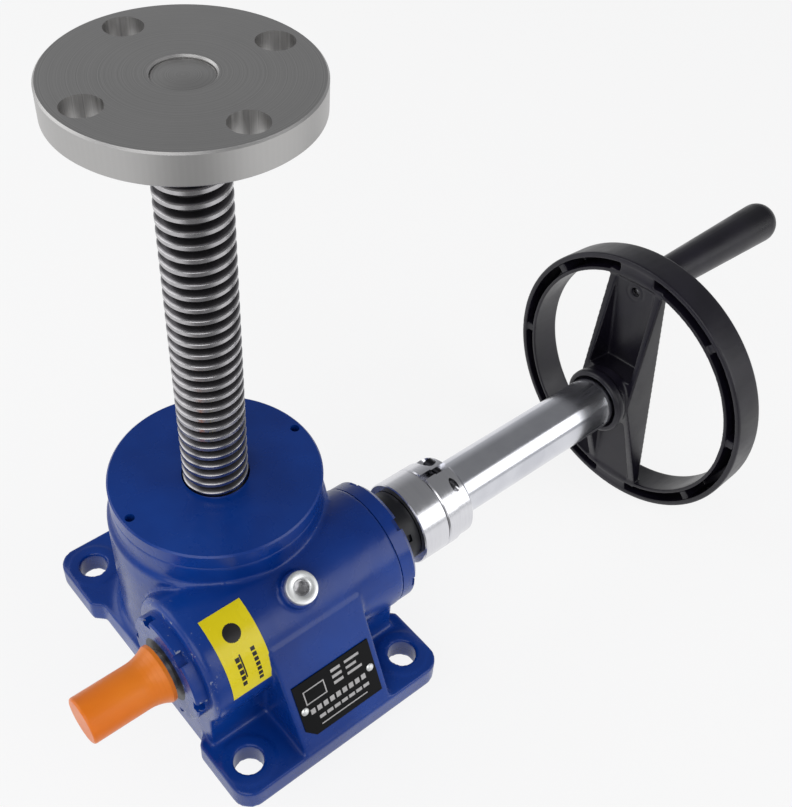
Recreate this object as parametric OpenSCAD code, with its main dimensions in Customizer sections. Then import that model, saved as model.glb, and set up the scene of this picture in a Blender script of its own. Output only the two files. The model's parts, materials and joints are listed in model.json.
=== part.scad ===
// Worm screw jack with a hand wheel.
//
// A cast housing holds a bronze worm wheel, whose bore is the lifting nut, between two thrust
// bearings. A worm in the barrel beside it turns the wheel, and the wheel drives the lifting
// screw up and down. The worm is turned by a hand wheel on an extension tube.
//
// +Z is the lifting direction and +X points along the worm towards the hand wheel. The origin
// is the centre of the base's bolt pattern, on the underside of the base.

/* [Lifting screw] */
// Outside diameter of the trapezoidal lifting screw
screw_d = 30; // [20:0.5:50]
// Offset of the lifting screw from the centre of the bolt pattern, away from the worm
screw_y = 17; // [0:0.5:40]
// Length of bare screw between the cover and the flange
screw_exposed = 188.4; // [80:0.2:400]
// Height of the screw's lower end above the base
screw_end_z = 16; // [14:0.5:30]
// Chamfer on the screw's edges
screw_chamfer = 1; // [0.2:0.1:3]
// Pitch of the screw's trapezoidal thread
screw_pitch = 6; // [4:0.5:10]
// Flank angle of the trapezoidal thread
screw_flank = 15; // [10:1:20]
// Length of the plain collar under the flange
screw_collar_l = 4; // [1:0.5:10]
// Length of the plain lower end
screw_lead_in = 3; // [1:0.5:8]
// Play of the nut's thread at each flank
nut_play = 0.15; // [0.05:0.05:0.4]
// Diameter of the spigot that carries the flange
spigot_d = 22.7; // [16:0.1:23]
// Depth of the spigot's face below the flange's face
spigot_drop = 1; // [0:0.1:3]

/* [Top flange] */
// Diameter of the flange plate
flange_d = 98; // [80:1:160]
// Thickness of the flange plate
flange_t = 12.5; // [6:0.5:30]
// Distance of the flange holes' centres from the rim
flange_hole_edge = 11; // [8:0.5:20]
// Diameter of the flange holes
flange_hole_d = 14.6; // [6:0.1:20]
// Number of flange holes
flange_holes = 4; // [3:1:8]
// Chamfer on the rims of the flange and round its spigot
flange_chamfer = 0.7; // [0.2:0.1:3]

/* [End stop] */
// Diameter of the stop washer under the screw
stop_d = 34; // [31:0.5:36]
// Thickness of the stop washer
stop_t = 4; // [2:0.5:8]
// Thread diameter of the stop bolt
stop_bolt_d = 10; // [6:1:14]
// Length of the stop bolt inside the screw
stop_bolt_l = 26; // [10:1:60]
// Width across the corners of the stop bolt's head
stop_head_d = 18.9; // [10:0.1:26]
// Height of the stop bolt's head
stop_head_h = 6.4; // [3:0.1:8]

/* [Base plate] */
// Width of the base plate, along the worm
base_w = 120; // [110:1:180]
// Length of the base plate, across the worm
base_l = 172; // [150:1:240]
// Thickness of the base plate
base_t = 13; // [8:0.5:24]
// Corner radius of the mounting ears
ear_r = 10; // [3:0.5:20]
// Bolt spacing along the worm
bolt_dx = 93; // [80:1:150]
// Bolt spacing across the worm
bolt_dy = 140; // [120:1:210]
// Diameter of the bolt holes
bolt_hole_d = 14.2; // [8:0.1:20]
// Depth of the relief between the ears on each side
relief_d = 5; // [1:0.5:10]
// Length of the relief along its floor
relief_l = 90; // [60:1:120]
// Width of the flat spot face round each bolt hole
spot_d = 25; // [18:0.5:30]
// Height of the spot faces above the ears
spot_h = 0.6; // [0.2:0.1:3]

/* [Gear barrel] */
// Radius of the upright gear barrel
barrel_r = 52; // [48:0.5:60]
// Height of the shoulder under the neck
shoulder_z = 84; // [78:0.5:120]
// Radius of the neck above the shoulder
neck_r = 49.7; // [46:0.1:58]
// Height of the joint between neck and cover
joint_z = 95.7; // [88:0.1:140]
// Radius of the gear chamber
chamber_r = 41; // [36:0.5:44]
// Radius of the bore that takes the cover's spigot
cover_bore_r = 43; // [38:0.5:46]
// Radius of the fillet at the foot of the barrel
foot_fillet = 7; // [2:0.5:12]
// Height of the seat of the lower thrust bearing
seat_z = 19; // [16:0.5:40]
// Depth of the bearing seats
seat_depth = 3.6; // [1:0.1:4]
// Radius of the clearance hole in the floor
floor_hole_r = 18; // [17.2:0.1:20]

/* [Worm barrel] */
// Distance between the screw axis and the worm axis
centre_distance = 45.5; // [44:0.1:60]
// Height of the worm axis above the base
worm_z = 52.6; // [50:0.1:90]
// Outside radius of the worm barrel
worm_barrel_r = 32.3; // [28:0.1:40]
// Place of the barrel's left end
barrel_left = -55; // [-80:0.5:-50]
// Place of the barrel's right end
barrel_right = 52.5; // [50:0.5:80]
// Rounding of the barrel's left edge
barrel_round = 3; // [0.5:0.5:6]
// Rounding of the barrel's right edge, where the end cover meets it
joint_round = 0.8; // [0.2:0.1:3]
// Radius of the worm chamber
worm_chamber_r = 19.6; // [18.5:0.1:22]
// Width of the wall between worm barrel and base
web_w = 50; // [30:1:60]

/* [Name plate] */
// Centre of the plate's pad along the worm
pad_x = 1; // [-10:0.5:10]
// Width of the pad
pad_w = 51; // [40:1:80]
// Lean of the pad from upright
pad_lean = 26.5; // [10:0.5:45]
// Rise of the pad above the worm barrel
pad_rise = 0.7; // [0.2:0.1:4]
// Width of the name plate
plate_w = 44; // [20:1:60]
// Height of the name plate
plate_h = 30; // [15:1:40]
// Thickness of the name plate
plate_t = 0.6; // [0.3:0.1:2]
// Distance of the plate's lower edge above the base plate, along the pad
plate_low = 7.5; // [2:0.5:20]
// Cut corner of the name plate
plate_cut = 5; // [1:0.5:10]
// Diameter of the rivet heads
rivet_d = 4; // [2:0.1:6]
// Height of the rivet heads
rivet_h = 1; // [0.5:0.1:3]
// Length of the rivet shanks
rivet_l = 6; // [3:0.5:10]
// Distance of the rivets from the plate's side edges
rivet_edge = 2.9; // [2.2:0.1:8]

/* [Warning label] */
// Place of the label's left edge
label_left = -46.2; // [-60:0.1:-20]
// Width of the label along the worm
label_w = 21.5; // [10:0.5:40]
// Angle of the label's upper edge from straight up
label_top = 13; // [0:1:40]
// Angle that the label covers
label_wrap = 75; // [20:1:90]
// Thickness of the label
label_t = 0.15; // [0.1:0.05:0.5]

/* [Filler plug] */
// Lean of the plug from straight up, towards the front
plug_lean = 32; // [10:1:60]
// Radius of the plug's boss
boss_r = 8.9; // [6:0.1:12]
// Height of the boss above the worm barrel
boss_h = 3.5; // [1:0.5:12]
// Diameter of the plug's head
plug_d = 15.6; // [10:0.1:22]
// Thickness of the plug's head
plug_t = 3.2; // [1:0.1:6]
// Diameter of the plug's thread
plug_thread_d = 10; // [6:0.5:12]
// Diameter of the recess in the plug's head
plug_recess_d = 8; // [3:0.1:9]
// Width of the socket in the plug, across the corners
plug_socket_d = 5.8; // [3:0.1:8]

/* [Top cover] */
// Thickness of the cover above its joint
cover_t = 8; // [4:0.5:20]
// Clearance between the cover's bore and the screw
cover_bore_gap = 0.7; // [0.3:0.1:2]
// Diameter of the two spanner holes
spanner_d = 4.5; // [2:0.1:8]
// Distance of the spanner holes from the axis
spanner_r = 45.5; // [30:0.5:47]
// Depth of the spanner holes
spanner_depth = 6; // [2:0.5:7]
// Chamfer on the cover's rim
cover_chamfer = 0.8; // [0.2:0.1:3]

/* [Thrust bearings] */
// Bore diameter of the thrust bearings
thrust_id = 40; // [36:1:50]
// Outside diameter of the thrust bearings
thrust_od = 60; // [54:1:76]
// Height of each thrust bearing
thrust_h = 13; // [11:0.5:16]
// Thickness of each washer
washer_t = 4; // [3:0.1:5]
// Ball diameter of the thrust bearings
thrust_ball_d = 7; // [6:0.1:8]
// Number of balls in each thrust bearing
thrust_balls = 14; // [8:1:18]

/* [Worm wheel] */
// Module of the worm gearing
gear_module = 2.5; // [1.5:0.1:3]
// Number of teeth on the wheel
wheel_teeth = 24; // [20:1:30]
// Number of starts on the worm
worm_starts = 1; // [1:1:4]
// Face width of the toothed rim
wheel_face = 26; // [16:1:30]
// Radius of the wheel's hub beside the teeth
wheel_hub_r = 26; // [24:0.5:28]
// Outside radius of the toothed rim, beside its throat
wheel_rim_r = 34.8; // [33:0.1:36]
// Pressure angle of the teeth
pressure_angle = 20; // [14.5:0.5:25]
// Play added to each flank of the gearing
flank_play = 0.25; // [0.05:0.05:0.5]

/* [Worm shaft] */
// Diameter of the worm shaft
shaft_d = 20; // [14:0.5:24]
// Diameter of the shoulders beside the worm
shaft_shoulder_d = 25; // [22:0.5:30]
// Length of the threaded worm
worm_l = 42; // [30:1:60]
// Places on each turn of the worm's thread
worm_steps = 36; // [24:4:60]
// Place of the shaft's left end
shaft_left = -101; // [-140:0.5:-75]
// Place of the shaft's right end, inside the extension tube
shaft_right = 112; // [90:0.5:150]
// Length of the keyway in the left end
keyway_l = 26; // [10:1:34]
// Width of the keyways and keys
key_w = 5; // [3:0.5:6]

/* [Worm bearings] */
// Outside diameter of the worm bearings
bearing_od = 47; // [40:1:52]
// Width of the worm bearings
bearing_w = 14; // [10:0.5:18]
// Ball diameter of the worm bearings
bearing_ball_d = 8; // [5:0.1:9]
// Number of balls in each worm bearing
bearing_balls = 8; // [5:1:9]
// Wall of the bearing rings beside the raceway
ring_wall = 3.6; // [2:0.1:4.5]

/* [End covers] */
// Radius of the left end cover
left_cover_r = 26; // [25:0.5:31]
// Radius of the right end cover
right_cover_r = 32; // [25:0.5:32]
// Thickness of the left end cover outside the barrel
left_cover_t = 6; // [3:0.5:10]
// Thickness of the right end cover outside the barrel
right_cover_t = 9.5; // [2:0.5:12]
// Chamfer on the left end cover
left_cover_chamfer = 0.8; // [0.2:0.1:3]
// Chamfer on the right end cover
right_cover_chamfer = 2.4; // [0.2:0.1:4]
// Number of spanner slots in each end cover
cover_slots = 6; // [2:1:12]
// Width of the spanner slots
slot_w = 6; // [3:0.5:12]
// Depth of the spanner slots from the covers' edge
slot_depth = 2.5; // [1:0.1:5]
// Length of the spanner slots from the covers' outer face
slot_l = 4; // [1:0.5:5]
// Outside radius of the left shaft seal
left_seal_r = 16; // [13:0.5:20]
// Outside radius of the black sealing collar on the right
right_seal_r = 18.7; // [15:0.1:22]
// Length of the sealing collar outside the end cover
right_seal_l = 13; // [4:0.5:20]
// Width of the step cut in the sealing collar
seal_step_w = 4; // [2:0.5:8]

/* [Shaft cap] */
// Outside diameter of the plastic shaft cap
cap_d = 22.7; // [18:0.1:30]
// Length of the cap
cap_l = 39.5; // [20:0.5:60]
// Place of the cap's open end
cap_open = -63.7; // [-90:0.1:-61.3]
// Diameter of the cap's lip
cap_lip_d = 28.5; // [24:0.1:36]
// Thickness of the cap's lip
cap_lip_t = 1.8; // [0.8:0.1:4]
// Length of the cap's flared part
cap_flare = 10; // [4:0.5:20]
// Thickness of the cap's closed end
cap_end_t = 1.8; // [1:0.1:4]
// Rounding of the cap's closed end
cap_round = 1.2; // [0.5:0.1:3]

/* [Extension tube] */
// Outside diameter of the extension tube
tube_d = 30; // [26:0.5:40]
// Outside diameter of the coupling sleeve
sleeve_d = 45; // [36:0.5:56]
// Length of the coupling sleeve
sleeve_l = 16; // [12:0.5:60]
// Length of the clamp collar beside the sleeve
collar_l = 17.6; // [8:0.2:30]
// Width of the slot in the clamp collar
collar_slot = 4; // [1.5:0.5:6]
// Length of the collar's thicker part
collar_step_l = 7.7; // [4:0.1:20]
// Height of the step on the collar
collar_step = 0.9; // [0.2:0.1:2]
// Chamfer on the collar's free end
collar_chamfer = 1.6; // [0.3:0.1:3]
// Thread diameter of the coupling's set screws
set_screw_d = 6; // [3:1:8]
// Thread diameter of the collar's clamp screw
clamp_screw_d = 4; // [3:0.5:5]

/* [Hand wheel] */
// Outside diameter of the hand wheel
wheel_d = 160; // [120:1:240]
// Place of the rim's near face
rim_near = 246; // [200:0.5:420]
// Width of the rim
rim_w = 20; // [12:0.5:30]
// Radial depth of the rim
rim_depth = 10.5; // [7:0.5:18]
// Wall of the hollow rim
rim_wall = 2.2; // [1.5:0.1:4]
// Taper of the rim's outer face over its width
rim_taper = 1; // [0:0.1:3]
// Thickness of the ribs inside the rim
rib_t = 5; // [2:0.5:10]
// Depth of the ribs below the rim's near face
rib_inset = 1.5; // [0.5:0.5:6]
// Angle of the spokes from upright
spoke_angle = 7.5; // [-180:0.5:180]
// Width of each spoke
spoke_w = 36; // [24:1:50]
// Width of the spoke's end inside the rim
spoke_end_w = 23; // [12:1:40]
// Step from the rim's near face down to the spokes
spoke_step = 0.4; // [0.2:0.1:3]
// Thickness of the spokes' side walls at their free edges
spoke_wall = 3; // [2:0.5:6]
// Growth of the side walls from their free edges to the floor
spoke_draft = 2; // [0.5:0.5:4]
// Thickness of the spokes' floor
spoke_floor_t = 4; // [2:0.5:8]
// Depth of the floor behind the spokes' ends
spoke_floor_drop = 0.6; // [0.2:0.1:2]
// Depth of the wheel's dish: from the rim's near face to the side walls' edges at the axis
dish = 17; // [8:0.5:30]
// Radius of the hub's lip round the tube
hub_r = 19; // [17.5:0.5:30]
// Width of the lip along the axis
hub_lip_w = 6; // [4.5:0.5:12]
// Radius of the hub between the lip and its flat sides
hub_neck_r = 17.4; // [16.5:0.1:17.8]
// Distance of the hub's flat sides from the axis
hub_flat = 14.5; // [13:0.5:20]
// Radius of the hub behind the spokes
hub_back_r = 14; // [13:0.5:17]
// Length of the hub in front of the side walls' edges
hub_front = 8; // [7:0.5:20]
// Length of the hub
hub_l = 33; // [30:1:60]
// Depth of the hub's recess round the tube
hub_recess = 4; // [1:0.5:10]
// Gap round the tube in the recess
hub_recess_gap = 1; // [0.3:0.1:2]

/* [Wheel fixing] */
// Diameter of the stub that carries the wheel
stub_d = 16; // [12:0.5:19]
// Length of the stub inside the tube
stub_in = 30; // [15:1:60]
// Diameter of the hub washer
hub_washer_d = 26; // [18:1:40]
// Thickness of the hub washer
hub_washer_t = 2.5; // [1:0.5:5]
// Thread diameter of the hub bolt
hub_bolt_d = 8; // [5:1:10]
// Length of the hub bolt in the stub
hub_bolt_l = 20; // [10:1:28]
// Length of the hub key
hub_key_l = 22; // [10:1:24]

/* [Grip] */
// Distance of the grip's axis inside the rim's outside
grip_edge = 18; // [14:0.5:30]
// Gap between the grip and its washer
grip_gap = 0.3; // [0.1:0.1:1]
// Length of the grip
grip_l = 93.8; // [50:0.1:160]
// Length of the grip's closed end, beyond its spindle
grip_end_l = 20; // [14:0.5:40]
// Diameter of the grip beside the wheel
grip_d_near = 19; // [14:0.5:30]
// Diameter of the grip at its widest
grip_d_far = 23.2; // [16:0.2:36]
// Diameter of the spindle that carries the grip
spindle_d = 8; // [5:0.5:10]
// Diameter of the boss behind the spoke
grip_boss_d = 20; // [14:0.5:26]
// Length of the boss behind the rim
grip_boss_l = 2.5; // [1:0.5:15]
// Thickness of the spoke in front of the spindle's end
spindle_cover = 2.5; // [1:0.5:5]
// Diameter of the hole that shows the spindle's end
spindle_hole_d = 5; // [3:0.5:8]
// Diameter of the shallow ring round that hole
hole_ring_d = 12; // [8:0.5:18]
// Diameter of the collar that holds the grip
spindle_collar_d = 11; // [9:0.5:14]
// Thickness of that collar
spindle_collar_t = 3; // [1:0.5:6]
// Diameter of the washer between boss and grip
grip_washer_d = 18; // [12:0.5:24]
// Thickness of that washer
grip_washer_t = 1.2; // [0.5:0.1:3]

/* [Threads] */
// Places on each turn of the screw's and the nut's thread
screw_steps = 18; // [12:2:36]
// Depth by which a thread starts inside its core
thread_sink = 0.6; // [0.3:0.1:1]
// Part of a turn over which a thread rises from its core
thread_fade = 0.33; // [0.1:0.01:0.5]

/* [Fits] */
// Radial gap between pieces that are fixed to each other
fixed_gap = 0.02; // [0.01:0.01:0.1]
// Radial gap of running fits
running_gap = 0.05; // [0.02:0.01:0.1]
// Gap between pieces that move past each other
free_gap = 0.3; // [0.2:0.05:1]
// Gap between balls and their cages
cage_gap = 0.12; // [0.05:0.01:0.3]

/* [Hidden] */
$fn = 96;
eps = 0.01;
cut = 1;

// Heights on the screw's axis
cover_top = joint_z + cover_t;
flange_top = cover_top + screw_exposed + flange_t;
flange_low = flange_top - flange_t;
flange_pcd = flange_d - 2 * flange_hole_edge;
lower_shoulder_z = seat_z + thrust_h;
upper_shoulder_z = 2 * worm_z - lower_shoulder_z;
upper_seat_z = upper_shoulder_z + thrust_h;
wheel_low = seat_z + free_gap;
wheel_high = upper_seat_z - free_gap;
floor_top = seat_z + seat_depth;
screw_bore_r = screw_d / 2 + cover_bore_gap;

// Trapezoidal thread of the screw and the nut
thread_top_gap = screw_pitch > 5 ? 0.5 : 0.25;
screw_pitch_r = screw_d / 2 - screw_pitch / 4;
screw_root_r = screw_d / 2 - screw_pitch / 2 - thread_top_gap;
nut_bore_r = screw_root_r + thread_top_gap;
nut_groove_r = screw_d / 2 + thread_top_gap;

// Worm gearing
worm_y = screw_y - centre_distance;
wheel_pitch_r = gear_module * wheel_teeth / 2;
worm_pitch_r = centre_distance - wheel_pitch_r;
worm_tip_r = worm_pitch_r + gear_module;
worm_root_r = worm_pitch_r - 1.25 * gear_module;
worm_pitch = PI * gear_module;
bottom_gap = 0.25 * gear_module;
lead_angle = atan(worm_starts * gear_module / (2 * worm_pitch_r));

// Places along the worm's axis
left_bearing_x = barrel_left + 2;
right_bearing_x = barrel_right - 2 - bearing_w;
seal_right_end = barrel_right + right_cover_t + right_seal_l;
sleeve_x = seal_right_end + free_gap;
collar_x = sleeve_x + sleeve_l + free_gap;
shaft_r = shaft_d / 2;
tube_r = tube_d / 2;
ball_track_r = (shaft_r + bearing_od / 2) / 2;
thrust_track_r = (thrust_id + thrust_od) / 4;

// Hand wheel
wheel_r = wheel_d / 2;
rim_in_r = wheel_r - rim_depth;
rim_far = rim_near + rim_w;
spoke_near = rim_near - dish;
hub_near = spoke_near - hub_front;
hub_far = hub_near + hub_l;
tube_right = hub_near + hub_recess;
spoke_end = rim_near + spoke_step;
spoke_floor = spoke_end + spoke_floor_drop;
spoke_back = spoke_floor + spoke_floor_t;
spindle_start = spoke_floor + spindle_cover;
grip_r = wheel_r - grip_edge;
grip_boss_far = rim_far + grip_boss_l;
grip_near = grip_boss_far + grip_washer_t + grip_gap;
grip_far = grip_near + grip_l;
collar_mid = (grip_near + grip_far) / 2;

// Pad of the name plate: its face is a line in the Y-Z plane that leans back by pad_lean
pad_dist = worm_barrel_r + pad_rise;
pad_top_y = worm_y - pad_dist * cos(pad_lean);
pad_top_z = worm_z + pad_dist * sin(pad_lean);
pad_low_y = pad_top_y - (pad_top_z - base_t) * tan(pad_lean);

cast_blue = [0.09, 0.19, 0.47];
steel = [0.62, 0.62, 0.64];
chrome = [0.80, 0.80, 0.83];
bronze = [0.72, 0.52, 0.26];
black = [0.07, 0.07, 0.08];
zinc = [0.88, 0.89, 0.88];

// Moves to the screw's axis
module at_screw() {
    translate([0, screw_y, 0]) children();
}

// Turns a shape that stands on +Z so that it lies along +X on the worm's axis
module on_worm(x = 0) {
    translate([x, worm_y, worm_z]) rotate([0, 90, 0]) children();
}

// Cylinder along +X on the worm's axis, between two places
module worm_cylinder(x0, x1, r) {
    on_worm(x0) cylinder(h = x1 - x0, r = r);
}

// Disc with chamfered edges
module chamfered_disc(r, h, c) {
    rotate_extrude() polygon([[0, 0], [r - c, 0], [r, c], [r, h - c], [r - c, h], [0, h]]);
}

// Corners of a thread's section at a place along its axis: they start and end inside its core
function thread_section(z, lead, core_r, tip_r, pitch_r, pitch_half, flank) = let (
    angle = 360 * z / lead,
    sunk_r = core_r - thread_sink,
    tip_half = pitch_half - (tip_r - pitch_r) * tan(flank),
    sunk_half = pitch_half + (pitch_r - sunk_r) * tan(flank)
) [
    for (c = [[sunk_r, -sunk_half], [tip_r, -tip_half], [tip_r, tip_half], [sunk_r, sunk_half]])
        [c[0] * cos(angle), c[0] * sin(angle), z + c[1]]
];

// Right-hand thread between two places along its axis, rising from its core at both ends.
// Its crest faces +X at z = 0, and pitch_half is half its width at the pitch radius.
module thread(low, high, lead, core_r, tip_r, pitch_r, pitch_half, flank, steps) {
    count = ceil((high - low) / lead * steps);
    fade = thread_fade * steps;
    start_r = core_r - thread_sink / 2;
    points = [for (i = [0 : count]) each thread_section(
        low + (high - low) * i / count, lead, core_r,
        start_r + (tip_r - start_r) * min(1, i / fade, (count - i) / fade), pitch_r, pitch_half, flank
    )];
    sides = [for (i = [0 : count - 1], j = [0 : 3]) let (a = 4 * i + j, b = 4 * i + (j + 1) % 4)
        each [[a, b, b + 4], [a, b + 4, a + 4]]];
    ends = [[3, 2, 1], [3, 1, 0], [4 * count, 4 * count + 1, 4 * count + 2],
        [4 * count, 4 * count + 2, 4 * count + 3]];
    polyhedron(points, concat(sides, ends));
}

// Holes on a circle
module on_circle(count, radius) {
    for (i = [0 : count - 1]) rotate([0, 0, 360 * i / count]) translate([radius, 0, 0]) children();
}

// Outline of the base plate: a rounded rectangle with a shallow relief on both long sides
module base_outline() {
    difference() {
        union() {
            square([base_w - 2 * ear_r, base_l], center = true);
            square([base_w, base_l - 2 * ear_r], center = true);
            for (sx = [-1, 1], sy = [-1, 1])
                translate([sx * (base_w / 2 - ear_r), sy * (base_l / 2 - ear_r)]) circle(ear_r);
        }
        for (s = [-1, 1]) scale([s, 1]) polygon([
            [base_w / 2 + eps, -relief_l / 2 - relief_d - eps],
            [base_w / 2 - relief_d, -relief_l / 2],
            [base_w / 2 - relief_d, relief_l / 2],
            [base_w / 2 + eps, relief_l / 2 + relief_d + eps]
        ]);
    }
}

// Upright barrel with its shoulder and neck, and a fillet at its foot
module gear_barrel() {
    at_screw() rotate_extrude() polygon(concat(
        [[0, base_t - cut], [barrel_r + foot_fillet, base_t - cut]],
        [for (a = [0 : 15 : 90]) [
            barrel_r + foot_fillet * (1 - sin(a)),
            base_t + foot_fillet * (1 - cos(a))
        ]],
        [[barrel_r, shoulder_z - 1.5], [barrel_r - 1.5, shoulder_z], [neck_r, shoulder_z]],
        [[neck_r, joint_z], [0, joint_z]]
    ));
}

// Lying barrel round the worm, with rounded ends
module worm_barrel() {
    len = barrel_right - barrel_left;
    inner = worm_barrel_r - barrel_round;
    joint_inner = worm_barrel_r - joint_round;
    on_worm(barrel_left) rotate_extrude() polygon(concat(
        [[0, 0]],
        [for (a = [0 : 15 : 90]) [inner + barrel_round * sin(a), barrel_round * (1 - cos(a))]],
        [for (a = [90 : -15 : 0])
            [joint_inner + joint_round * sin(a), len - joint_round * (1 - cos(a))]],
        [[0, len]]
    ));
}

// Wall that carries the worm barrel on the base
module worm_web() {
    translate([barrel_left, worm_y - web_w / 2, base_t - cut])
        cube([barrel_right - barrel_left, web_w, worm_z - base_t + cut]);
}

// Leaning pad for the name plate
module name_pad() {
    translate([pad_x - pad_w / 2, 0, 0]) rotate([90, 0, 90]) linear_extrude(pad_w) polygon([
        [pad_low_y, base_t - cut],
        [pad_low_y, base_t],
        [pad_top_y, pad_top_z],
        [worm_y, worm_z],
        [worm_y, base_t - cut]
    ]);
}

// Frame of the filler plug: its Z axis points out of the boss
module at_plug() {
    translate([0, worm_y, worm_z]) rotate([plug_lean, 0, 0]) children();
}

// Spaces inside the housing for the gear chamber, bearings, screw, worm and plug
module housing_hollow() {
    at_screw() {
        translate([0, 0, floor_top]) cylinder(h = joint_z, r = chamber_r);
        translate([0, 0, seat_z]) cylinder(h = thrust_h, r = thrust_od / 2 + fixed_gap);
        translate([0, 0, -cut]) cylinder(h = seat_z + 2 * cut, r = floor_hole_r);
        translate([0, 0, shoulder_z]) cylinder(h = joint_z, r = cover_bore_r);
    }
    worm_cylinder(barrel_left - cut, barrel_right + cut, worm_chamber_r);
    worm_cylinder(barrel_left - cut, left_bearing_x + bearing_w, bearing_od / 2 + fixed_gap);
    worm_cylinder(right_bearing_x, barrel_right + cut, bearing_od / 2 + fixed_gap);
    at_plug() cylinder(h = worm_barrel_r + boss_h + cut, r = plug_thread_d / 2 + fixed_gap);
    for (s = [-1, 1]) on_pad(s * (plate_w / 2 - rivet_edge))
        translate([0, 0, -rivet_l - cut]) cylinder(h = rivet_l + 2 * cut, r = rivet_d / 4 + fixed_gap);
}

module housing() {
    color(cast_blue) difference() {
        union() {
            linear_extrude(base_t) base_outline();
            for (sx = [-1, 1], sy = [-1, 1])
                translate([sx * bolt_dx / 2, sy * bolt_dy / 2, 0])
                    cylinder(h = base_t + spot_h, r = spot_d / 2);
            intersection() {
                union() {
                    gear_barrel();
                    name_pad();
                }
                linear_extrude(cover_top) base_outline();
            }
            worm_web();
            worm_barrel();
            at_plug() cylinder(h = worm_barrel_r + boss_h, r = boss_r);
        }
        housing_hollow();
        for (sx = [-1, 1], sy = [-1, 1])
            translate([sx * bolt_dx / 2, sy * bolt_dy / 2, -cut])
                cylinder(h = base_t + spot_h + 2 * cut, r = bolt_hole_d / 2);
    }
}

// Screwed cover: a rim that covers the neck and a spigot that presses on the upper bearing
module top_cover() {
    color(cast_blue) at_screw() difference() {
        union() {
            translate([0, 0, joint_z]) rotate_extrude() polygon([
                [0, 0],
                [neck_r, 0],
                [neck_r, cover_t - cover_chamfer],
                [neck_r - cover_chamfer, cover_t],
                [0, cover_t]
            ]);
            translate([0, 0, shoulder_z + free_gap])
                cylinder(h = joint_z - shoulder_z, r = cover_bore_r - running_gap);
        }
        translate([0, 0, shoulder_z - cut]) cylinder(h = cover_t + joint_z, r = screw_bore_r);
        translate([0, 0, shoulder_z - cut])
            cylinder(h = upper_seat_z - shoulder_z + cut, r = thrust_od / 2 + fixed_gap);
        for (s = [-1, 1]) translate([s * spanner_r, 0, cover_top - spanner_depth])
            cylinder(h = spanner_depth + cut, r = spanner_d / 2);
    }
}

// Slotted ring that closes one end of the worm barrel; it stands on its outer face
module end_cover(r, t, chamfer, seal_r) {
    difference() {
        union() {
            rotate_extrude() polygon([[0, 0], [r - chamfer, 0], [r, chamfer], [r, t], [0, t]]);
            translate([0, 0, t - eps])
                cylinder(h = 2 + eps - running_gap, r = bearing_od / 2 - running_gap);
        }
        translate([0, 0, -cut]) cylinder(h = t + 4, r = shaft_r + free_gap + 1);
        translate([0, 0, -cut]) cylinder(h = t - 1 + cut, r = seal_r);
        for (i = [0 : cover_slots - 1]) rotate([0, 0, 360 * (i + 0.5) / cover_slots])
            translate([r - chamfer - slot_depth, -slot_w / 2, -cut])
                cube([slot_depth + chamfer + cut, slot_w, slot_l + cut]);
    }
}

module left_end_cover() {
    color(cast_blue) on_worm(barrel_left - left_cover_t)
        end_cover(left_cover_r, left_cover_t, left_cover_chamfer, left_seal_r + fixed_gap);
}

module right_end_cover() {
    color(cast_blue) on_worm(barrel_right + right_cover_t) mirror([0, 0, 1])
        end_cover(right_cover_r, right_cover_t, right_cover_chamfer, right_seal_r + fixed_gap);
}

module left_shaft_seal() {
    color(black) on_worm(barrel_left - left_cover_t) difference() {
        cylinder(h = left_cover_t - 1, r = left_seal_r);
        translate([0, 0, -cut]) cylinder(h = left_cover_t + cut, r = shaft_r + running_gap);
    }
}

// Sealing collar with a step cut in the side that faces front and down
module right_seal_collar() {
    x0 = barrel_right + 1;
    len = seal_right_end - x0;
    color(black) on_worm(x0) difference() {
        cylinder(h = len, r = right_seal_r);
        translate([0, 0, -cut]) cylinder(h = len + 2 * cut, r = shaft_r + running_gap);
        rotate([0, 0, -120]) translate([right_seal_r - 1.5, -seal_step_w / 2, right_cover_t + 1])
            cube([3, seal_step_w, right_seal_l / 2]);
    }
}

module filler_plug() {
    head_z = worm_barrel_r + boss_h;
    color(zinc) at_plug() difference() {
        union() {
            translate([0, 0, head_z]) chamfered_disc(plug_d / 2, plug_t, 0.5);
            translate([0, 0, head_z - 10]) cylinder(h = 10 + eps, r = plug_thread_d / 2);
        }
        translate([0, 0, head_z + plug_t - 0.8]) cylinder(h = cut, r = plug_recess_d / 2);
        translate([0, 0, head_z + plug_t - 4]) cylinder(h = 5, r = plug_socket_d / 2, $fn = 6);
    }
}

// Frame on the pad's face: origin in the middle of the plate, moved sideways by dx
module on_pad(dx = 0) {
    along = plate_low + plate_h / 2;
    translate([
        pad_x + dx,
        pad_low_y + along * sin(pad_lean),
        base_t + along * cos(pad_lean)
    ]) rotate([90 - pad_lean, 0, 0]) children();
}

module name_plate() {
    w = plate_w / 2;
    h = plate_h / 2;
    color(black) on_pad() difference() {
        linear_extrude(plate_t) polygon([
            [-w + plate_cut, -h], [w, -h], [w, h], [-w, h], [-w, -h + plate_cut]
        ]);
        for (s = [-1, 1]) translate([s * (w - rivet_edge), 0, -cut])
            cylinder(h = plate_t + 2 * cut, r = rivet_d / 4 + fixed_gap);
    }
}

module plate_rivets() {
    color(steel) for (s = [-1, 1]) on_pad(s * (plate_w / 2 - rivet_edge)) union() {
        translate([0, 0, plate_t]) intersection() {
            cylinder(h = rivet_h, r = rivet_d / 2);
            translate([0, 0, rivet_h - rivet_d / 1.6]) sphere(rivet_d / 1.6);
        }
        translate([0, 0, -rivet_l]) cylinder(h = rivet_l + plate_t + eps, r = rivet_d / 4);
    }
}

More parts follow.
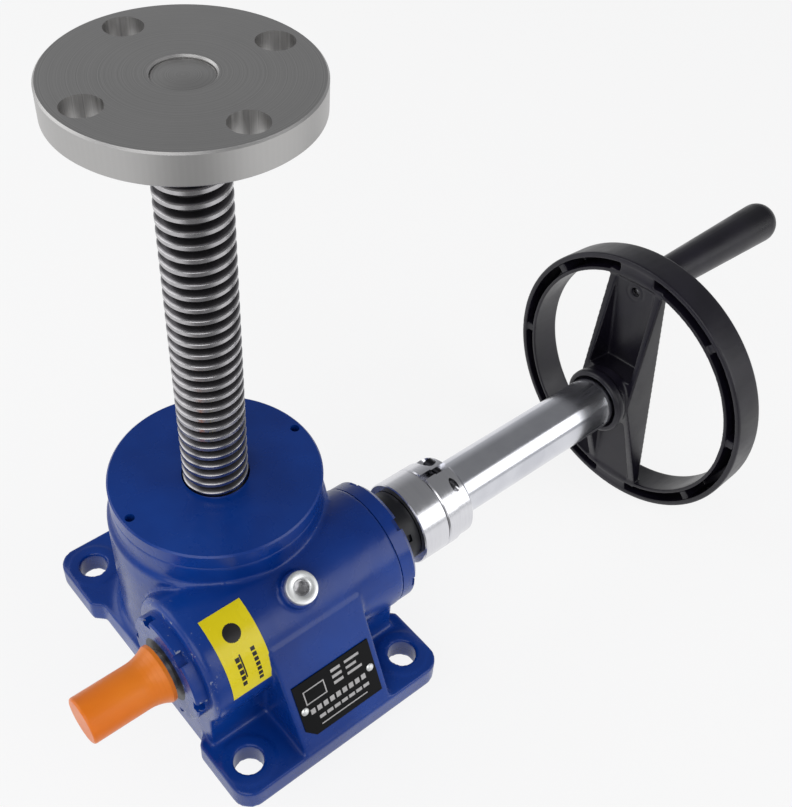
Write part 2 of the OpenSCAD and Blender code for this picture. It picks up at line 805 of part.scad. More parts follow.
// Label bent over the front of the worm barrel
module warning_label() {
    color([0.93, 0.80, 0.08]) on_worm(label_left) rotate([0, 0, 180 + label_top])
        rotate_extrude(angle = label_wrap)
            translate([worm_barrel_r + running_gap, 0]) square([label_t, label_w]);
}

// Groove in which the thrust balls run, as a ring centred on z = 0
module thrust_groove() {
    rotate_extrude() translate([thrust_track_r, 0]) circle(thrust_ball_d / 2 + running_gap);
}

// Lower and upper places of the thrust bearings
module at_thrust_centres() {
    for (z = [seat_z, upper_shoulder_z]) at_screw() translate([0, 0, z + thrust_h / 2]) children();
}

module thrust_washer(z, inner, outer) {
    difference() {
        translate([0, 0, z]) cylinder(h = washer_t, r = outer);
        translate([0, 0, z - cut]) cylinder(h = washer_t + 2 * cut, r = inner);
    }
}

// Washers that stay with the housing: the lowest and the highest of the four
module thrust_housing_washers() {
    color(steel) difference() {
        at_screw() {
            thrust_washer(seat_z, thrust_id / 2 + 1, thrust_od / 2);
            thrust_washer(upper_seat_z - washer_t, thrust_id / 2 + 1, thrust_od / 2);
        }
        at_thrust_centres() thrust_groove();
    }
}

// Washers that turn with the worm wheel
module thrust_shaft_washers() {
    color(steel) difference() {
        at_screw() {
            thrust_washer(lower_shoulder_z - washer_t, thrust_id / 2 + fixed_gap, thrust_od / 2 - 0.5);
            thrust_washer(upper_shoulder_z, thrust_id / 2 + fixed_gap, thrust_od / 2 - 0.5);
        }
        at_thrust_centres() thrust_groove();
    }
}

// Balls in their cage, centred on z = 0
module thrust_ball_set() {
    cage_h = 2.4;
    hole_r = thrust_ball_d / 2 + cage_gap;
    on_circle(thrust_balls, thrust_track_r) sphere(thrust_ball_d / 2, $fn = 48);
    difference() {
        translate([0, 0, -cage_h / 2]) cylinder(h = cage_h, r = thrust_track_r + hole_r + 0.8);
        translate([0, 0, -cut - cage_h / 2])
            cylinder(h = cage_h + 2 * cut, r = thrust_track_r - hole_r - 0.8);
        on_circle(thrust_balls, thrust_track_r) translate([0, 0, -cage_h])
            cylinder(h = 2 * cage_h, r = hole_r, $fn = 48);
    }
}

module lower_thrust_balls() {
    color(bronze) at_screw() translate([0, 0, seat_z + thrust_h / 2]) thrust_ball_set();
}

module upper_thrust_balls() {
    color(bronze) at_screw() translate([0, 0, upper_shoulder_z + thrust_h / 2]) thrust_ball_set();
}

// One ring of a worm bearing with its ball groove
module bearing_ring(inner, outer) {
    difference() {
        cylinder(h = bearing_w, r = outer);
        translate([0, 0, -cut]) cylinder(h = bearing_w + 2 * cut, r = inner);
        translate([0, 0, bearing_w / 2]) rotate_extrude()
            translate([ball_track_r, 0]) circle(bearing_ball_d / 2 + running_gap);
    }
}

// Places of the two worm bearings
module at_worm_bearings() {
    for (x = [left_bearing_x, right_bearing_x]) on_worm(x) children();
}

module worm_bearing_outer_rings() {
    color(steel) at_worm_bearings() bearing_ring(bearing_od / 2 - ring_wall, bearing_od / 2);
}

module worm_bearing_inner_rings() {
    color(steel) at_worm_bearings() bearing_ring(shaft_r + fixed_gap, shaft_r + ring_wall);
}

module worm_ball_set() {
    cage_w = bearing_ball_d + 1;
    translate([0, 0, bearing_w / 2]) {
        on_circle(bearing_balls, ball_track_r) sphere(bearing_ball_d / 2, $fn = 48);
        difference() {
            translate([0, 0, -cage_w / 2]) cylinder(h = cage_w, r = ball_track_r + 1);
            translate([0, 0, -cage_w / 2 - cut]) cylinder(h = cage_w + 2 * cut, r = ball_track_r - 1);
            on_circle(bearing_balls, ball_track_r - 3) rotate([0, 90, 0])
                cylinder(h = 6, r = bearing_ball_d / 2 + cage_gap, $fn = 48);
        }
    }
}

module left_bearing_balls() {
    color(bronze) on_worm(left_bearing_x) worm_ball_set();
}

module right_bearing_balls() {
    color(bronze) on_worm(right_bearing_x) worm_ball_set();
}

// Ring round the wheel, of the space within a distance of the worm's axis
module throat(radius) {
    rotate_extrude() translate([centre_distance, 0]) circle(radius);
}

// Involute of an angle, in degrees
function involute(a) = tan(a) * 180 / PI - a;

// Half the angle of a tooth gap at a distance from the wheel's axis
function gap_angle(r) = let (base = wheel_pitch_r * cos(pressure_angle))
    90 / wheel_teeth + (flank_play / wheel_pitch_r) * 180 / PI
    + involute(acos(base / max(r, base))) - involute(pressure_angle);

// Gap between two teeth, with involute flanks, leaning by the worm's lead angle
module tooth_gap() {
    low = centre_distance - worm_tip_r - 2;
    radii = [for (t = [0 : 0.1 : 1]) low + t * (wheel_rim_r + 1 - low)];
    rotate([-lead_angle, 0, 0]) linear_extrude(2 * wheel_face, center = true) polygon(concat(
        [for (r = radii) [r * cos(gap_angle(r)), r * sin(gap_angle(r))]],
        [for (i = [len(radii) - 1 : -1 : 0])
            [radii[i] * cos(gap_angle(radii[i])), -radii[i] * sin(gap_angle(radii[i]))]]
    ));
}

// Toothed rim: its gaps reach down to the worm's tips and its tooth tips to the worm's roots
module toothed_rim() {
    blank_low = -wheel_face / 2;
    difference() {
        translate([0, 0, blank_low]) chamfered_disc(wheel_rim_r, wheel_face, 1);
        throat(worm_tip_r + bottom_gap);
        translate([0, 0, blank_low - cut]) cylinder(h = wheel_face + 2 * cut, r = screw_d / 2 + 1);
    }
    difference() {
        translate([0, 0, blank_low]) chamfered_disc(wheel_rim_r, wheel_face, 1);
        throat(worm_root_r + bottom_gap);
        translate([0, 0, blank_low - cut]) cylinder(h = wheel_face + 2 * cut, r = wheel_hub_r - 1);
        on_circle(wheel_teeth, 0) tooth_gap();
    }
}

// Bronze wheel with a throated, toothed rim; its bore is the lifting nut
module worm_wheel() {
    c = screw_chamfer;
    low = wheel_low - worm_z;
    high = wheel_high - worm_z;
    color(bronze) at_screw() translate([0, 0, worm_z]) difference() {
        union() {
            rotate_extrude() polygon([
                [nut_groove_r + c, low],
                [thrust_id / 2, low],
                [thrust_id / 2, lower_shoulder_z - worm_z],
                [wheel_hub_r, lower_shoulder_z - worm_z],
                [wheel_hub_r, upper_shoulder_z - worm_z],
                [thrust_id / 2, upper_shoulder_z - worm_z],
                [thrust_id / 2, high],
                [nut_groove_r + c, high],
                [nut_bore_r, high - nut_groove_r - c + nut_bore_r],
                [nut_bore_r, low + nut_groove_r + c - nut_bore_r]
            ]);
            toothed_rim();
        }
        thread(low - screw_pitch, high + screw_pitch, screw_pitch, nut_bore_r, nut_groove_r,
            screw_pitch_r, screw_pitch / 4 + nut_play, screw_flank, screw_steps);
    }
}

module worm_shaft() {
    shoulder_r = shaft_shoulder_d / 2;
    thread_half = (worm_l - worm_pitch) / 2;
    color(steel) difference() {
        on_worm() union() {
            for (k = [0 : worm_starts - 1]) rotate([0, 0, 90 + 360 * k / worm_starts])
                thread(-thread_half, thread_half, worm_pitch * worm_starts, worm_root_r, worm_tip_r,
                    worm_pitch_r, worm_pitch / 4, pressure_angle, worm_steps);
            rotate_extrude() polygon([
                [0, shaft_left], [shaft_r - 1, shaft_left], [shaft_r, shaft_left + 1],
                [shaft_r, left_bearing_x + bearing_w], [shoulder_r, left_bearing_x + bearing_w],
                [shoulder_r, -worm_l / 2 - 2], [worm_root_r, -worm_l / 2],
                [worm_root_r, worm_l / 2], [shoulder_r, worm_l / 2 + 2],
                [shoulder_r, right_bearing_x], [shaft_r, right_bearing_x],
                [shaft_r, shaft_right - 1], [shaft_r - 1, shaft_right], [0, shaft_right]
            ]);
        }
        translate([shaft_left + 4, worm_y - key_w / 2, worm_z + shaft_r - key_w / 2])
            cube([keyway_l, key_w, key_w]);
        coupling_screw_places() translate([0, 0, shaft_r - 2])
            cylinder(h = 3, r = set_screw_d / 2 + fixed_gap);
    }
}

// Directions of the coupling's two set screws, on its back and its underside
module coupling_screw_places() {
    for (a = [0, 90]) on_worm(sleeve_x + sleeve_l / 2) rotate([0, 0, a]) rotate([0, 90, 0]) children();
}

module extension_tube() {
    color(chrome) difference() {
        worm_cylinder(sleeve_x, tube_right, tube_r);
        worm_cylinder(sleeve_x - cut, tube_right + cut, shaft_r + fixed_gap);
        coupling_screw_places() cylinder(h = tube_r + cut, r = set_screw_d / 2 + fixed_gap);
    }
}

module coupling_sleeve() {
    color(chrome) difference() {
        on_worm(sleeve_x) chamfered_disc(sleeve_d / 2, sleeve_l, 0.6);
        worm_cylinder(sleeve_x - cut, sleeve_x + sleeve_l + cut, tube_r + fixed_gap);
        coupling_screw_places() cylinder(h = sleeve_d, r = set_screw_d / 2 + fixed_gap);
    }
}

module coupling_set_screws() {
    color(black) coupling_screw_places() difference() {
        translate([0, 0, shaft_r - 1.9]) cylinder(h = sleeve_d / 2 - shaft_r + 1, r = set_screw_d / 2);
        translate([0, 0, sleeve_d / 2 - 3.5]) cylinder(h = 4, r = set_screw_d / 4, $fn = 6);
    }
}

// Middle of the clamp screw: half way along the collar's thin part and through its wall
module at_clamp() {
    thin = collar_l - collar_step_l;
    on_worm(collar_x + collar_l - thin / 2 - collar_chamfer / 2) rotate([0, 0, 175])
        translate([(tube_r + sleeve_d / 2 - collar_step) / 2, 0, 0]) rotate([90, 0, 0]) children();
}

// Stepped collar, split on top, that clamps the sleeve's end of the tube
module clamp_collar() {
    r = sleeve_d / 2;
    low_r = r - collar_step;
    color(chrome) difference() {
        on_worm(collar_x) rotate_extrude() polygon([
            [tube_r + fixed_gap, 0], [r - 0.6, 0], [r, 0.6],
            [r, collar_step_l - 0.4], [r - 0.4, collar_step_l], [low_r, collar_step_l],
            [low_r, collar_l - collar_chamfer], [low_r - collar_chamfer, collar_l],
            [tube_r + fixed_gap, collar_l]
        ]);
        on_worm(collar_x - cut) rotate([0, 0, 175]) translate([0, -collar_slot / 2, 0])
            cube([sleeve_d, collar_slot, collar_l + 2 * cut]);
        at_clamp() {
            translate([0, 0, -r]) cylinder(h = 2 * r, r = clamp_screw_d / 2 + fixed_gap);
            translate([0, 0, collar_slot / 2 + 3]) cylinder(h = r, r = clamp_screw_d * 0.9);
        }
    }
}

module clamp_screw() {
    seat = collar_slot / 2 + 3;
    color(steel) at_clamp() difference() {
        union() {
            translate([0, 0, seat]) cylinder(h = clamp_screw_d, r = clamp_screw_d * 0.85);
            translate([0, 0, seat - 14]) cylinder(h = 14 + eps, r = clamp_screw_d / 2);
        }
        translate([0, 0, seat + clamp_screw_d / 2])
            cylinder(h = clamp_screw_d, r = clamp_screw_d * 0.45, $fn = 6);
    }
}

// Hollow rim: open towards the gearbox, closed behind
module wheel_rim() {
    on_worm(rim_near) rotate_extrude() difference() {
        polygon([
            [rim_in_r, 0], [wheel_r - 0.6, 0], [wheel_r, 0.6],
            [wheel_r - rim_taper, rim_w - 1.5], [wheel_r - rim_taper - 1.5, rim_w],
            [rim_in_r + 1.5, rim_w], [rim_in_r, rim_w - 1.5]
        ]);
        translate([rim_in_r + rim_wall, -cut])
            square([rim_depth - rim_taper - 2 * rim_wall, rim_w - rim_wall - 0.6 + cut]);
    }
}

// Frame of a spoke: X runs outwards along it, Y across it and Z along the worm's axis
module at_spoke(turn = 0) {
    translate([0, worm_y, worm_z]) rotate([-spoke_angle - turn, 0, 0]) rotate([0, -90, 180])
        mirror([0, 1, 0]) children();
}

// Moves to the grip's axis, at a place along the worm's direction
module on_grip(x) {
    at_spoke() translate([grip_r, 0, x]) children();
}

// Plate in a spoke's frame: extrudes a profile of [distance, place] over a width
module spoke_plate(width, profile) {
    translate([0, width / 2, 0]) rotate([90, 0, 0]) linear_extrude(width) polygon(profile);
}

// Trough-shaped spoke, open towards the gearbox: the free edges of its side walls run straight
// from the rim to the hub, and its end closes the channel of the rim
module spoke() {
    far = rim_in_r + rim_wall / 2;
    edge = spoke_w / 2 - spoke_wall;
    difference() {
        spoke_plate(spoke_w, [
            [0, spoke_near], [grip_r + 4, spoke_end], [far, spoke_end], [far, spoke_back], [0, spoke_back]
        ]);
        translate([hub_flat, 0, 0]) rotate([90, 0, 90]) linear_extrude(rim_in_r - 1.5 - hub_flat) polygon([
            [-edge + spoke_draft, spoke_floor],
            [edge - spoke_draft, spoke_floor],
            [edge, spoke_near - cut],
            [-edge, spoke_near - cut]
        ]);
    }
    translate([far, -spoke_end_w / 2, spoke_end + eps])
        cube([rim_depth - rim_taper - rim_wall - 0.5, spoke_end_w, rim_w - rim_wall - spoke_step]);
}

// Ribs that cross the channel of the rim, every 45 degrees between the spokes
module rim_ribs() {
    for (turn = [45, 90, 135, 225, 270, 315]) at_spoke(turn)
        translate([rim_in_r + rim_wall / 2, -rib_t / 2, rim_near + rib_inset])
            cube([rim_depth - rim_taper - rim_wall, rib_t, rim_w - rim_wall - rib_inset]);
}

// Hub: a lip round the tube, a neck, and a shorter boss behind the spokes
module wheel_hub() {
    on_worm(hub_near) chamfered_disc(hub_r, hub_lip_w, 1);
    worm_cylinder(hub_near + hub_lip_w - 1, spoke_near + 5, hub_neck_r);
    worm_cylinder(spoke_back - 1, hub_far, hub_back_r);
}

module hand_wheel() {
    color(black) difference() {
        union() {
            wheel_rim();
            rim_ribs();
            for (turn = [0, 180]) at_spoke(turn) spoke();
            wheel_hub();
            on_grip(spoke_floor + 1) cylinder(h = grip_boss_far - spoke_floor - 1, r = grip_boss_d / 2);
        }
        worm_cylinder(hub_near - cut, hub_near + hub_recess, tube_r + hub_recess_gap);
        worm_cylinder(hub_near, hub_far + cut, stub_d / 2 + fixed_gap);
        translate([hub_near + hub_recess, worm_y - key_w / 2 - fixed_gap, worm_z])
            cube([hub_l, key_w + 2 * fixed_gap, stub_d / 2 + key_w / 2 + fixed_gap]);
        on_grip(spindle_start) cylinder(h = rim_w + grip_boss_l, r = spindle_d / 2 + fixed_gap);
        on_grip(spoke_floor - cut) {
            cylinder(h = spindle_cover + 2 * cut, r = spindle_hole_d / 2);
            difference() {
                cylinder(h = cut + 0.4, r = hole_ring_d / 2);
                cylinder(h = cut + 0.5, r = hole_ring_d / 2 - 1.2);
            }
        }
    }
}

// Stub pressed in the tube's end, with a key seat and a tapped end
module wheel_stub() {
    color(steel) difference() {
        union() {
            worm_cylinder(tube_right - stub_in, hub_near + hub_recess, shaft_r);
            worm_cylinder(hub_near + hub_recess - eps, hub_far - 1, stub_d / 2);
        }
        worm_cylinder(hub_far - 1 - hub_bolt_l, hub_far, hub_bolt_d / 2 + fixed_gap);
        translate([
            hub_near + hub_recess + 1, worm_y - key_w / 2 - fixed_gap, worm_z + stub_d / 2 - key_w / 2
        ]) cube([hub_key_l, key_w + 2 * fixed_gap, key_w]);
    }
}

module hub_key() {
    color(steel) translate([
        hub_near + hub_recess + 1 + fixed_gap,
        worm_y - key_w / 2,
        worm_z + stub_d / 2 - key_w / 2 + fixed_gap
    ]) cube([hub_key_l - 2 * fixed_gap, key_w, key_w - 2 * fixed_gap]);
}

module hub_washer() {
    color(zinc) difference() {
        worm_cylinder(hub_far, hub_far + hub_washer_t, hub_washer_d / 2);
        worm_cylinder(hub_far - cut, hub_far + hub_washer_t + cut, hub_bolt_d / 2 + fixed_gap);
    }
}

module hub_bolt() {
    x0 = hub_far + hub_washer_t;
    color(zinc) union() {
        on_worm(x0) cylinder(h = hub_bolt_d * 0.65, r = hub_bolt_d * 0.92, $fn = 6);
        worm_cylinder(hub_far - hub_bolt_l, x0 + eps, hub_bolt_d / 2);
    }
}

module grip_spindle() {
    color(steel) union() {
        on_grip(spindle_start) cylinder(h = grip_far - grip_end_l - spindle_start, r = spindle_d / 2);
        on_grip(collar_mid - spindle_collar_t / 2)
            cylinder(h = spindle_collar_t, r = spindle_collar_d / 2);
    }
}

module grip_washer() {
    color(zinc) on_grip(grip_boss_far) difference() {
        cylinder(h = grip_washer_t, r = grip_washer_d / 2);
        translate([0, 0, -cut]) cylinder(h = grip_washer_t + 2 * cut, r = spindle_d / 2 + fixed_gap);
    }
}

// Tapered grip with a rounded end, free to turn on its spindle
module revolving_grip() {
    near_r = grip_d_near / 2;
    far_r = grip_d_far / 2;
    dome = 0.8 * far_r;
    color(black) on_grip(grip_near) difference() {
        rotate_extrude() polygon(concat(
            [[0, 0], [near_r - 0.8, 0], [near_r, 0.8]],
            [for (a = [0 : 10 : 90]) [far_r * pow(cos(a), 0.8), grip_l - dome + dome * sin(a)]],
            [[0, grip_l]]
        ));
        translate([0, 0, -cut])
            cylinder(h = grip_l - grip_end_l + cut + free_gap, r = spindle_d / 2 + running_gap);
        translate([0, 0, collar_mid - grip_near - spindle_collar_t / 2 - free_gap])
            cylinder(h = spindle_collar_t + 2 * free_gap, r = spindle_collar_d / 2 + free_gap);
    }
}

module lifting_screw() {
    r = screw_d / 2;
    collar_z = flange_low - screw_collar_l;
    spigot_top = flange_top - spigot_drop;
    color(steel) at_screw() difference() {
        union() {
            translate([0, 0, worm_z]) thread(
                screw_end_z + screw_lead_in - worm_z, collar_z - screw_pitch / 2 - worm_z, screw_pitch,
                screw_root_r, r, screw_pitch_r, screw_pitch / 4, screw_flank, screw_steps
            );
            rotate_extrude() polygon([
                [0, screw_end_z],
                [screw_root_r - screw_chamfer, screw_end_z],
                [screw_root_r, screw_end_z + screw_chamfer],
                [screw_root_r, collar_z],
                [r, collar_z],
                [r, flange_low - screw_chamfer],
                [r - screw_chamfer, flange_low],
                [spigot_d / 2, flange_low],
                [spigot_d / 2, spigot_top - flange_chamfer],
                [spigot_d / 2 - flange_chamfer, spigot_top],
                [0, spigot_top]
            ]);
        }
        translate([0, 0, screw_end_z - cut])
            cylinder(h = stop_bolt_l + cut, r = stop_bolt_d / 2 + fixed_gap);
    }
}

module top_flange() {
    c = flange_chamfer;
    color(steel) at_screw() translate([0, 0, flange_low]) difference() {
        rotate_extrude() polygon([
            [spigot_d / 2 + fixed_gap, 0],
            [flange_d / 2 - c, 0],
            [flange_d / 2, c],
            [flange_d / 2, flange_t - c],
            [flange_d / 2 - c, flange_t],
            [spigot_d / 2 + fixed_gap + c, flange_t],
            [spigot_d / 2 + fixed_gap, flange_t - c]
        ]);
        on_circle(flange_holes, flange_pcd / 2) translate([0, 0, -cut])
            cylinder(h = flange_t + 2 * cut, r = flange_hole_d / 2);
    }
}

// Washer that stops the screw before it leaves the nut
module stop_washer() {
    color(steel) at_screw() translate([0, 0, screw_end_z - stop_t]) difference() {
        cylinder(h = stop_t, r = stop_d / 2);
        translate([0, 0, -cut]) cylinder(h = stop_t + 2 * cut, r = stop_bolt_d / 2 + fixed_gap);
    }
}

module stop_bolt() {
    head_z = screw_end_z - stop_t;
    color(steel) at_screw() union() {
        translate([0, 0, head_z - stop_head_h]) cylinder(h = stop_head_h, r = stop_head_d / 2, $fn = 6);
        translate([0, 0, head_z - eps]) cylinder(h = stop_bolt_l + stop_t - 1, r = stop_bolt_d / 2);
    }
}

// Soft plastic cap with a rounded end and a flared lip, pushed over the free shaft end
module shaft_cap() {
    r = cap_d / 2;
    lip_r = cap_lip_d / 2;
    flare_end = cap_l - cap_lip_t;
    flare_start = flare_end - cap_flare;
    color([0.95, 0.45, 0.06]) on_worm(cap_open - cap_l) difference() {
        rotate_extrude() polygon(concat(
            [[0, 0]],
            [for (a = [0 : 15 : 90]) [r - cap_round * (1 - sin(a)), cap_round * (1 - cos(a))]],
            [for (t = [0 : 0.2 : 1]) [r + (lip_r - r) * t * t, flare_start + cap_flare * t]],
            [[lip_r, cap_l], [0, cap_l]]
        ));
        translate([0, 0, cap_end_t]) cylinder(h = cap_l, r = shaft_r + running_gap);
    }
}

housing();
top_cover();
left_end_cover();
right_end_cover();
left_shaft_seal();
right_seal_collar();
filler_plug();
name_plate();
plate_rivets();
warning_label();
thrust_housing_washers();
worm_bearing_outer_rings();
worm_wheel();
thrust_shaft_washers();
lower_thrust_balls();
upper_thrust_balls();
left_bearing_balls();
right_bearing_balls();
worm_shaft();
worm_bearing_inner_rings();
extension_tube();
coupling_sleeve();
clamp_collar();
clamp_screw();
coupling_set_screws();
wheel_stub();
hub_key();
hand_wheel();
hub_washer();
hub_bolt();
grip_spindle();
grip_washer();
revolving_grip();
lifting_screw();
top_flange();
stop_washer();
stop_bolt();
shaft_cap();
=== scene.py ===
"""Looks of the worm screw jack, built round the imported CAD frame.

Lengths are metres. +Z runs up the lifting screw, and +X along the worm towards the hand wheel.
"""

import json
import math

import bmesh
import bpy
import numpy as np
from mathutils import Matrix, Vector

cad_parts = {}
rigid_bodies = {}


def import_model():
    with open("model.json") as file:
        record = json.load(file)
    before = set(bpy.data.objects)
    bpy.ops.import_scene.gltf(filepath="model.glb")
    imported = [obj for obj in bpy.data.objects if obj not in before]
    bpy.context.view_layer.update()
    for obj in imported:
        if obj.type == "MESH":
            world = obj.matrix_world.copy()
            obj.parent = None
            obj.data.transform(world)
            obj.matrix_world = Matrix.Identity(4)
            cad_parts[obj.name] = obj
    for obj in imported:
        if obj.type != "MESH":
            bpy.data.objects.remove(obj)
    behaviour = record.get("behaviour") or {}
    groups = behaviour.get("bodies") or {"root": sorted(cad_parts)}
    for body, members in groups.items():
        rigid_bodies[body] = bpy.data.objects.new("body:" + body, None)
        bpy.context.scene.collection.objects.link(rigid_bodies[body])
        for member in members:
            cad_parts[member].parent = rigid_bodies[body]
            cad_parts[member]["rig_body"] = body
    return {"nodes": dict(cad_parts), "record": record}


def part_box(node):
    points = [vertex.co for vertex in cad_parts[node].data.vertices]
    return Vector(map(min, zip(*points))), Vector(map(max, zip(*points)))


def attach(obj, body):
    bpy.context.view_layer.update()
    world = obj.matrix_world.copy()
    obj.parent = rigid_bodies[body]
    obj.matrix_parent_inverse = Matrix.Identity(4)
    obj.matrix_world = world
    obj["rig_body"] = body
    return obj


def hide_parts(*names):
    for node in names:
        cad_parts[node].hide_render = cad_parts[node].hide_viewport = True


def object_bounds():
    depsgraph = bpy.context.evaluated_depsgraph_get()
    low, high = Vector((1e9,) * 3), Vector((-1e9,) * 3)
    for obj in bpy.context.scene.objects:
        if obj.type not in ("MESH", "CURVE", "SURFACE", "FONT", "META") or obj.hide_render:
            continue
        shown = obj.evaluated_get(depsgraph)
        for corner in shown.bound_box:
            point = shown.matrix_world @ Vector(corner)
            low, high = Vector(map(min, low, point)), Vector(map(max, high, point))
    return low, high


MM = 0.001

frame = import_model()
cad_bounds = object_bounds()
NODES = frame["nodes"]


# ---------------------------------------------------------------- places from the frame

def size_of(node):
    """Width of a node's box along each axis."""
    low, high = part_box(node)
    return high - low


def middle(node):
    """Centre of a node's box."""
    low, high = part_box(node)
    return (low + high) / 2


# A point on the axis of the screw, and one on the axis of the worm
SCREW_AXIS = middle("lifting_screw")
WORM_AXIS = middle("extension_tube")

# Lifting screw: its thread, the plain collar under the flange and the spigot that carries it
CREST_R = size_of("lifting_screw").x / 2
PITCH = 6 * MM
THREAD_DEPTH = 3.5 * MM
THREAD_FLANK = math.radians(15)
ROOT_R = CREST_R - THREAD_DEPTH
COLLAR_L = 4 * MM
SPIGOT_R = 22.7 * MM / 2
SCREW_STEPS = 72

# Barrel round the worm, and how far the plug and the name plate's pad lean to the front
BARREL_R = 32.3 * MM
PLUG_LEAN = math.radians(32)
PAD_LEAN = math.radians(26.5)

# Label: where it starts and how far it wraps, from straight up towards the front
LABEL_TOP = math.radians(13)
LABEL_WRAP = math.radians(75)

# Paint chips: from where to where along the worm they come in, and how far out they reach
CHIPS_FROM_X, CHIPS_FULL_X = -48 * MM, -56 * MM
CHIPS_FULL_R, CHIPS_END_R = 34 * MM, 40 * MM


# ---------------------------------------------------------------- material helpers

def srgb(r, g, b):
    """Linear colour of an 8-bit sRGB colour."""
    def linear(c):
        c /= 255
        return c / 12.92 if c <= 0.04045 else ((c + 0.055) / 1.055) ** 2.4
    return (linear(r), linear(g), linear(b), 1.0)


class Nodes:
    """A material under construction, with short calls for the nodes it uses."""

    def __init__(self, name):
        self.material = bpy.data.materials.new(name)
        self.material.use_nodes = True
        self.tree = self.material.node_tree
        self.tree.nodes.clear()
        self.out = self.tree.nodes.new("ShaderNodeOutputMaterial")
        self.shader = self.tree.nodes.new("ShaderNodeBsdfPrincipled")
        self.link(self.shader.outputs[0], self.out.inputs["Surface"])
        self.coords = self.tree.nodes.new("ShaderNodeTexCoord").outputs["Object"]

    def link(self, a, b):
        self.tree.links.new(a, b)

    def put(self, socket, value):
        """Feeds a socket from another socket, or sets it to a constant."""
        if isinstance(value, bpy.types.NodeSocket):
            self.link(value, socket)
        else:
            socket.default_value = value

    def set(self, **sockets):
        """Feeds the shader's sockets, whose names have _ in place of spaces."""
        for name, value in sockets.items():
            self.put(self.shader.inputs[name.replace("_", " ")], value)

    def place(self, scale=(1, 1, 1), offset=(0, 0, 0)):
        """Object coordinates, stretched and moved."""
        node = self.tree.nodes.new("ShaderNodeMapping")
        node.inputs["Scale"].default_value = scale
        node.inputs["Location"].default_value = offset
        self.link(self.coords, node.inputs["Vector"])
        return node.outputs[0]

    def noise(self, scale, detail=4.0, rough=0.55, vector=None):
        """Soft noise between 0 and 1."""
        node = self.tree.nodes.new("ShaderNodeTexNoise")
        node.inputs["Scale"].default_value = scale
        node.inputs["Detail"].default_value = detail
        node.inputs["Roughness"].default_value = rough
        self.link(vector or self.coords, node.inputs["Vector"])
        return node.outputs["Fac"]

    def clouds(self, scale, detail, to_low=0.0, to_high=1.0, edge=0.3):
        """Noise that runs between two values, and is flat where it is far from its middle."""
        return self.ramp(self.noise(scale, detail), edge, 1 - edge, to_low, to_high)

    def lines(self, scale, along):
        """Fine noise that changes with one number alone, as turning marks do."""
        node = self.tree.nodes.new("ShaderNodeTexNoise")
        node.noise_dimensions = "1D"
        node.inputs["Scale"].default_value = scale
        node.inputs["Detail"].default_value = 3
        self.link(along, node.inputs["W"])
        return node.outputs["Fac"]

    def math(self, kind, a, b=0.0):
        """One step of arithmetic."""
        node = self.tree.nodes.new("ShaderNodeMath")
        node.operation = kind
        self.put(node.inputs[0], a)
        self.put(node.inputs[1], b)
        return node.outputs[0]

    def ramp(self, value, low, high, to_low=0.0, to_high=1.0):
        """Value brought from one range to another and held at its ends."""
        node = self.tree.nodes.new("ShaderNodeMapRange")
        node.inputs["From Min"].default_value = low
        node.inputs["From Max"].default_value = high
        node.inputs["To Min"].default_value = to_low
        node.inputs["To Max"].default_value = to_high
        self.put(node.inputs["Value"], value)
        return node.outputs["Result"]

    def mix(self, factor, a, b):
        """Colour on the way from a to b."""
        node = self.tree.nodes.new("ShaderNodeMix")
        node.data_type = "RGBA"
        self.put(node.inputs["Factor"], factor)
        self.put(node.inputs[6], a)
        self.put(node.inputs[7], b)
        return node.outputs[2]

    def split(self, vector=None):
        """The three parts of a vector."""
        node = self.tree.nodes.new("ShaderNodeSeparateXYZ")
        self.link(vector or self.coords, node.inputs[0])
        return node.outputs

    def distance(self, a, b):
        """Length of the pair (a, b)."""
        squares = self.math("ADD", self.math("MULTIPLY", a, a), self.math("MULTIPLY", b, b))
        return self.math("SQRT", squares)

    def bump(self, height, depth, strength=1.0, below=None):
        """Normal of a relief, laid over the normal below it."""
        node = self.tree.nodes.new("ShaderNodeBump")
        node.inputs["Distance"].default_value = depth
        node.inputs["Strength"].default_value = strength
        self.put(node.inputs["Height"], height)
        if below is not None:
            self.link(below, node.inputs["Normal"])
        return node.outputs[0]


# ---------------------------------------------------------------- materials

def paint_blue():
    """Deep blue gloss paint on a sand casting, a little chipped beside the shaft cap."""
    m = Nodes("cast_paint")
    tone = m.clouds(16, 3, edge=0.35)
    colour = m.mix(tone, srgb(3, 47, 126), srgb(9, 62, 150))
    dust = m.ramp(m.noise(70, 6, 0.7), 0.60, 0.80, 0.0, 0.12)
    colour = m.mix(dust, colour, srgb(70, 96, 160))
    x, y, z = m.split()
    near_end = m.ramp(x, CHIPS_FROM_X, CHIPS_FULL_X)
    from_worm = m.distance(m.math("SUBTRACT", y, WORM_AXIS.y), m.math("SUBTRACT", z, WORM_AXIS.z))
    near_end = m.math("MULTIPLY", near_end, m.ramp(from_worm, CHIPS_END_R, CHIPS_FULL_R))
    flakes = m.ramp(m.noise(240, 5, 0.72), 0.61, 0.64)
    chips = m.math("MULTIPLY", near_end, flakes)
    colour = m.mix(chips, colour, srgb(150, 158, 182))
    m.set(Base_Color=colour, Roughness=m.clouds(50, 4, 0.20, 0.34), IOR=1.45)
    lumps = m.bump(m.noise(40, 2), 0.0012, 0.30)
    peel = m.bump(m.noise(400, 3), 0.00020, 0.25, lumps)
    m.set(Normal=m.bump(chips, 0.0002, 0.6, peel))
    return m.material


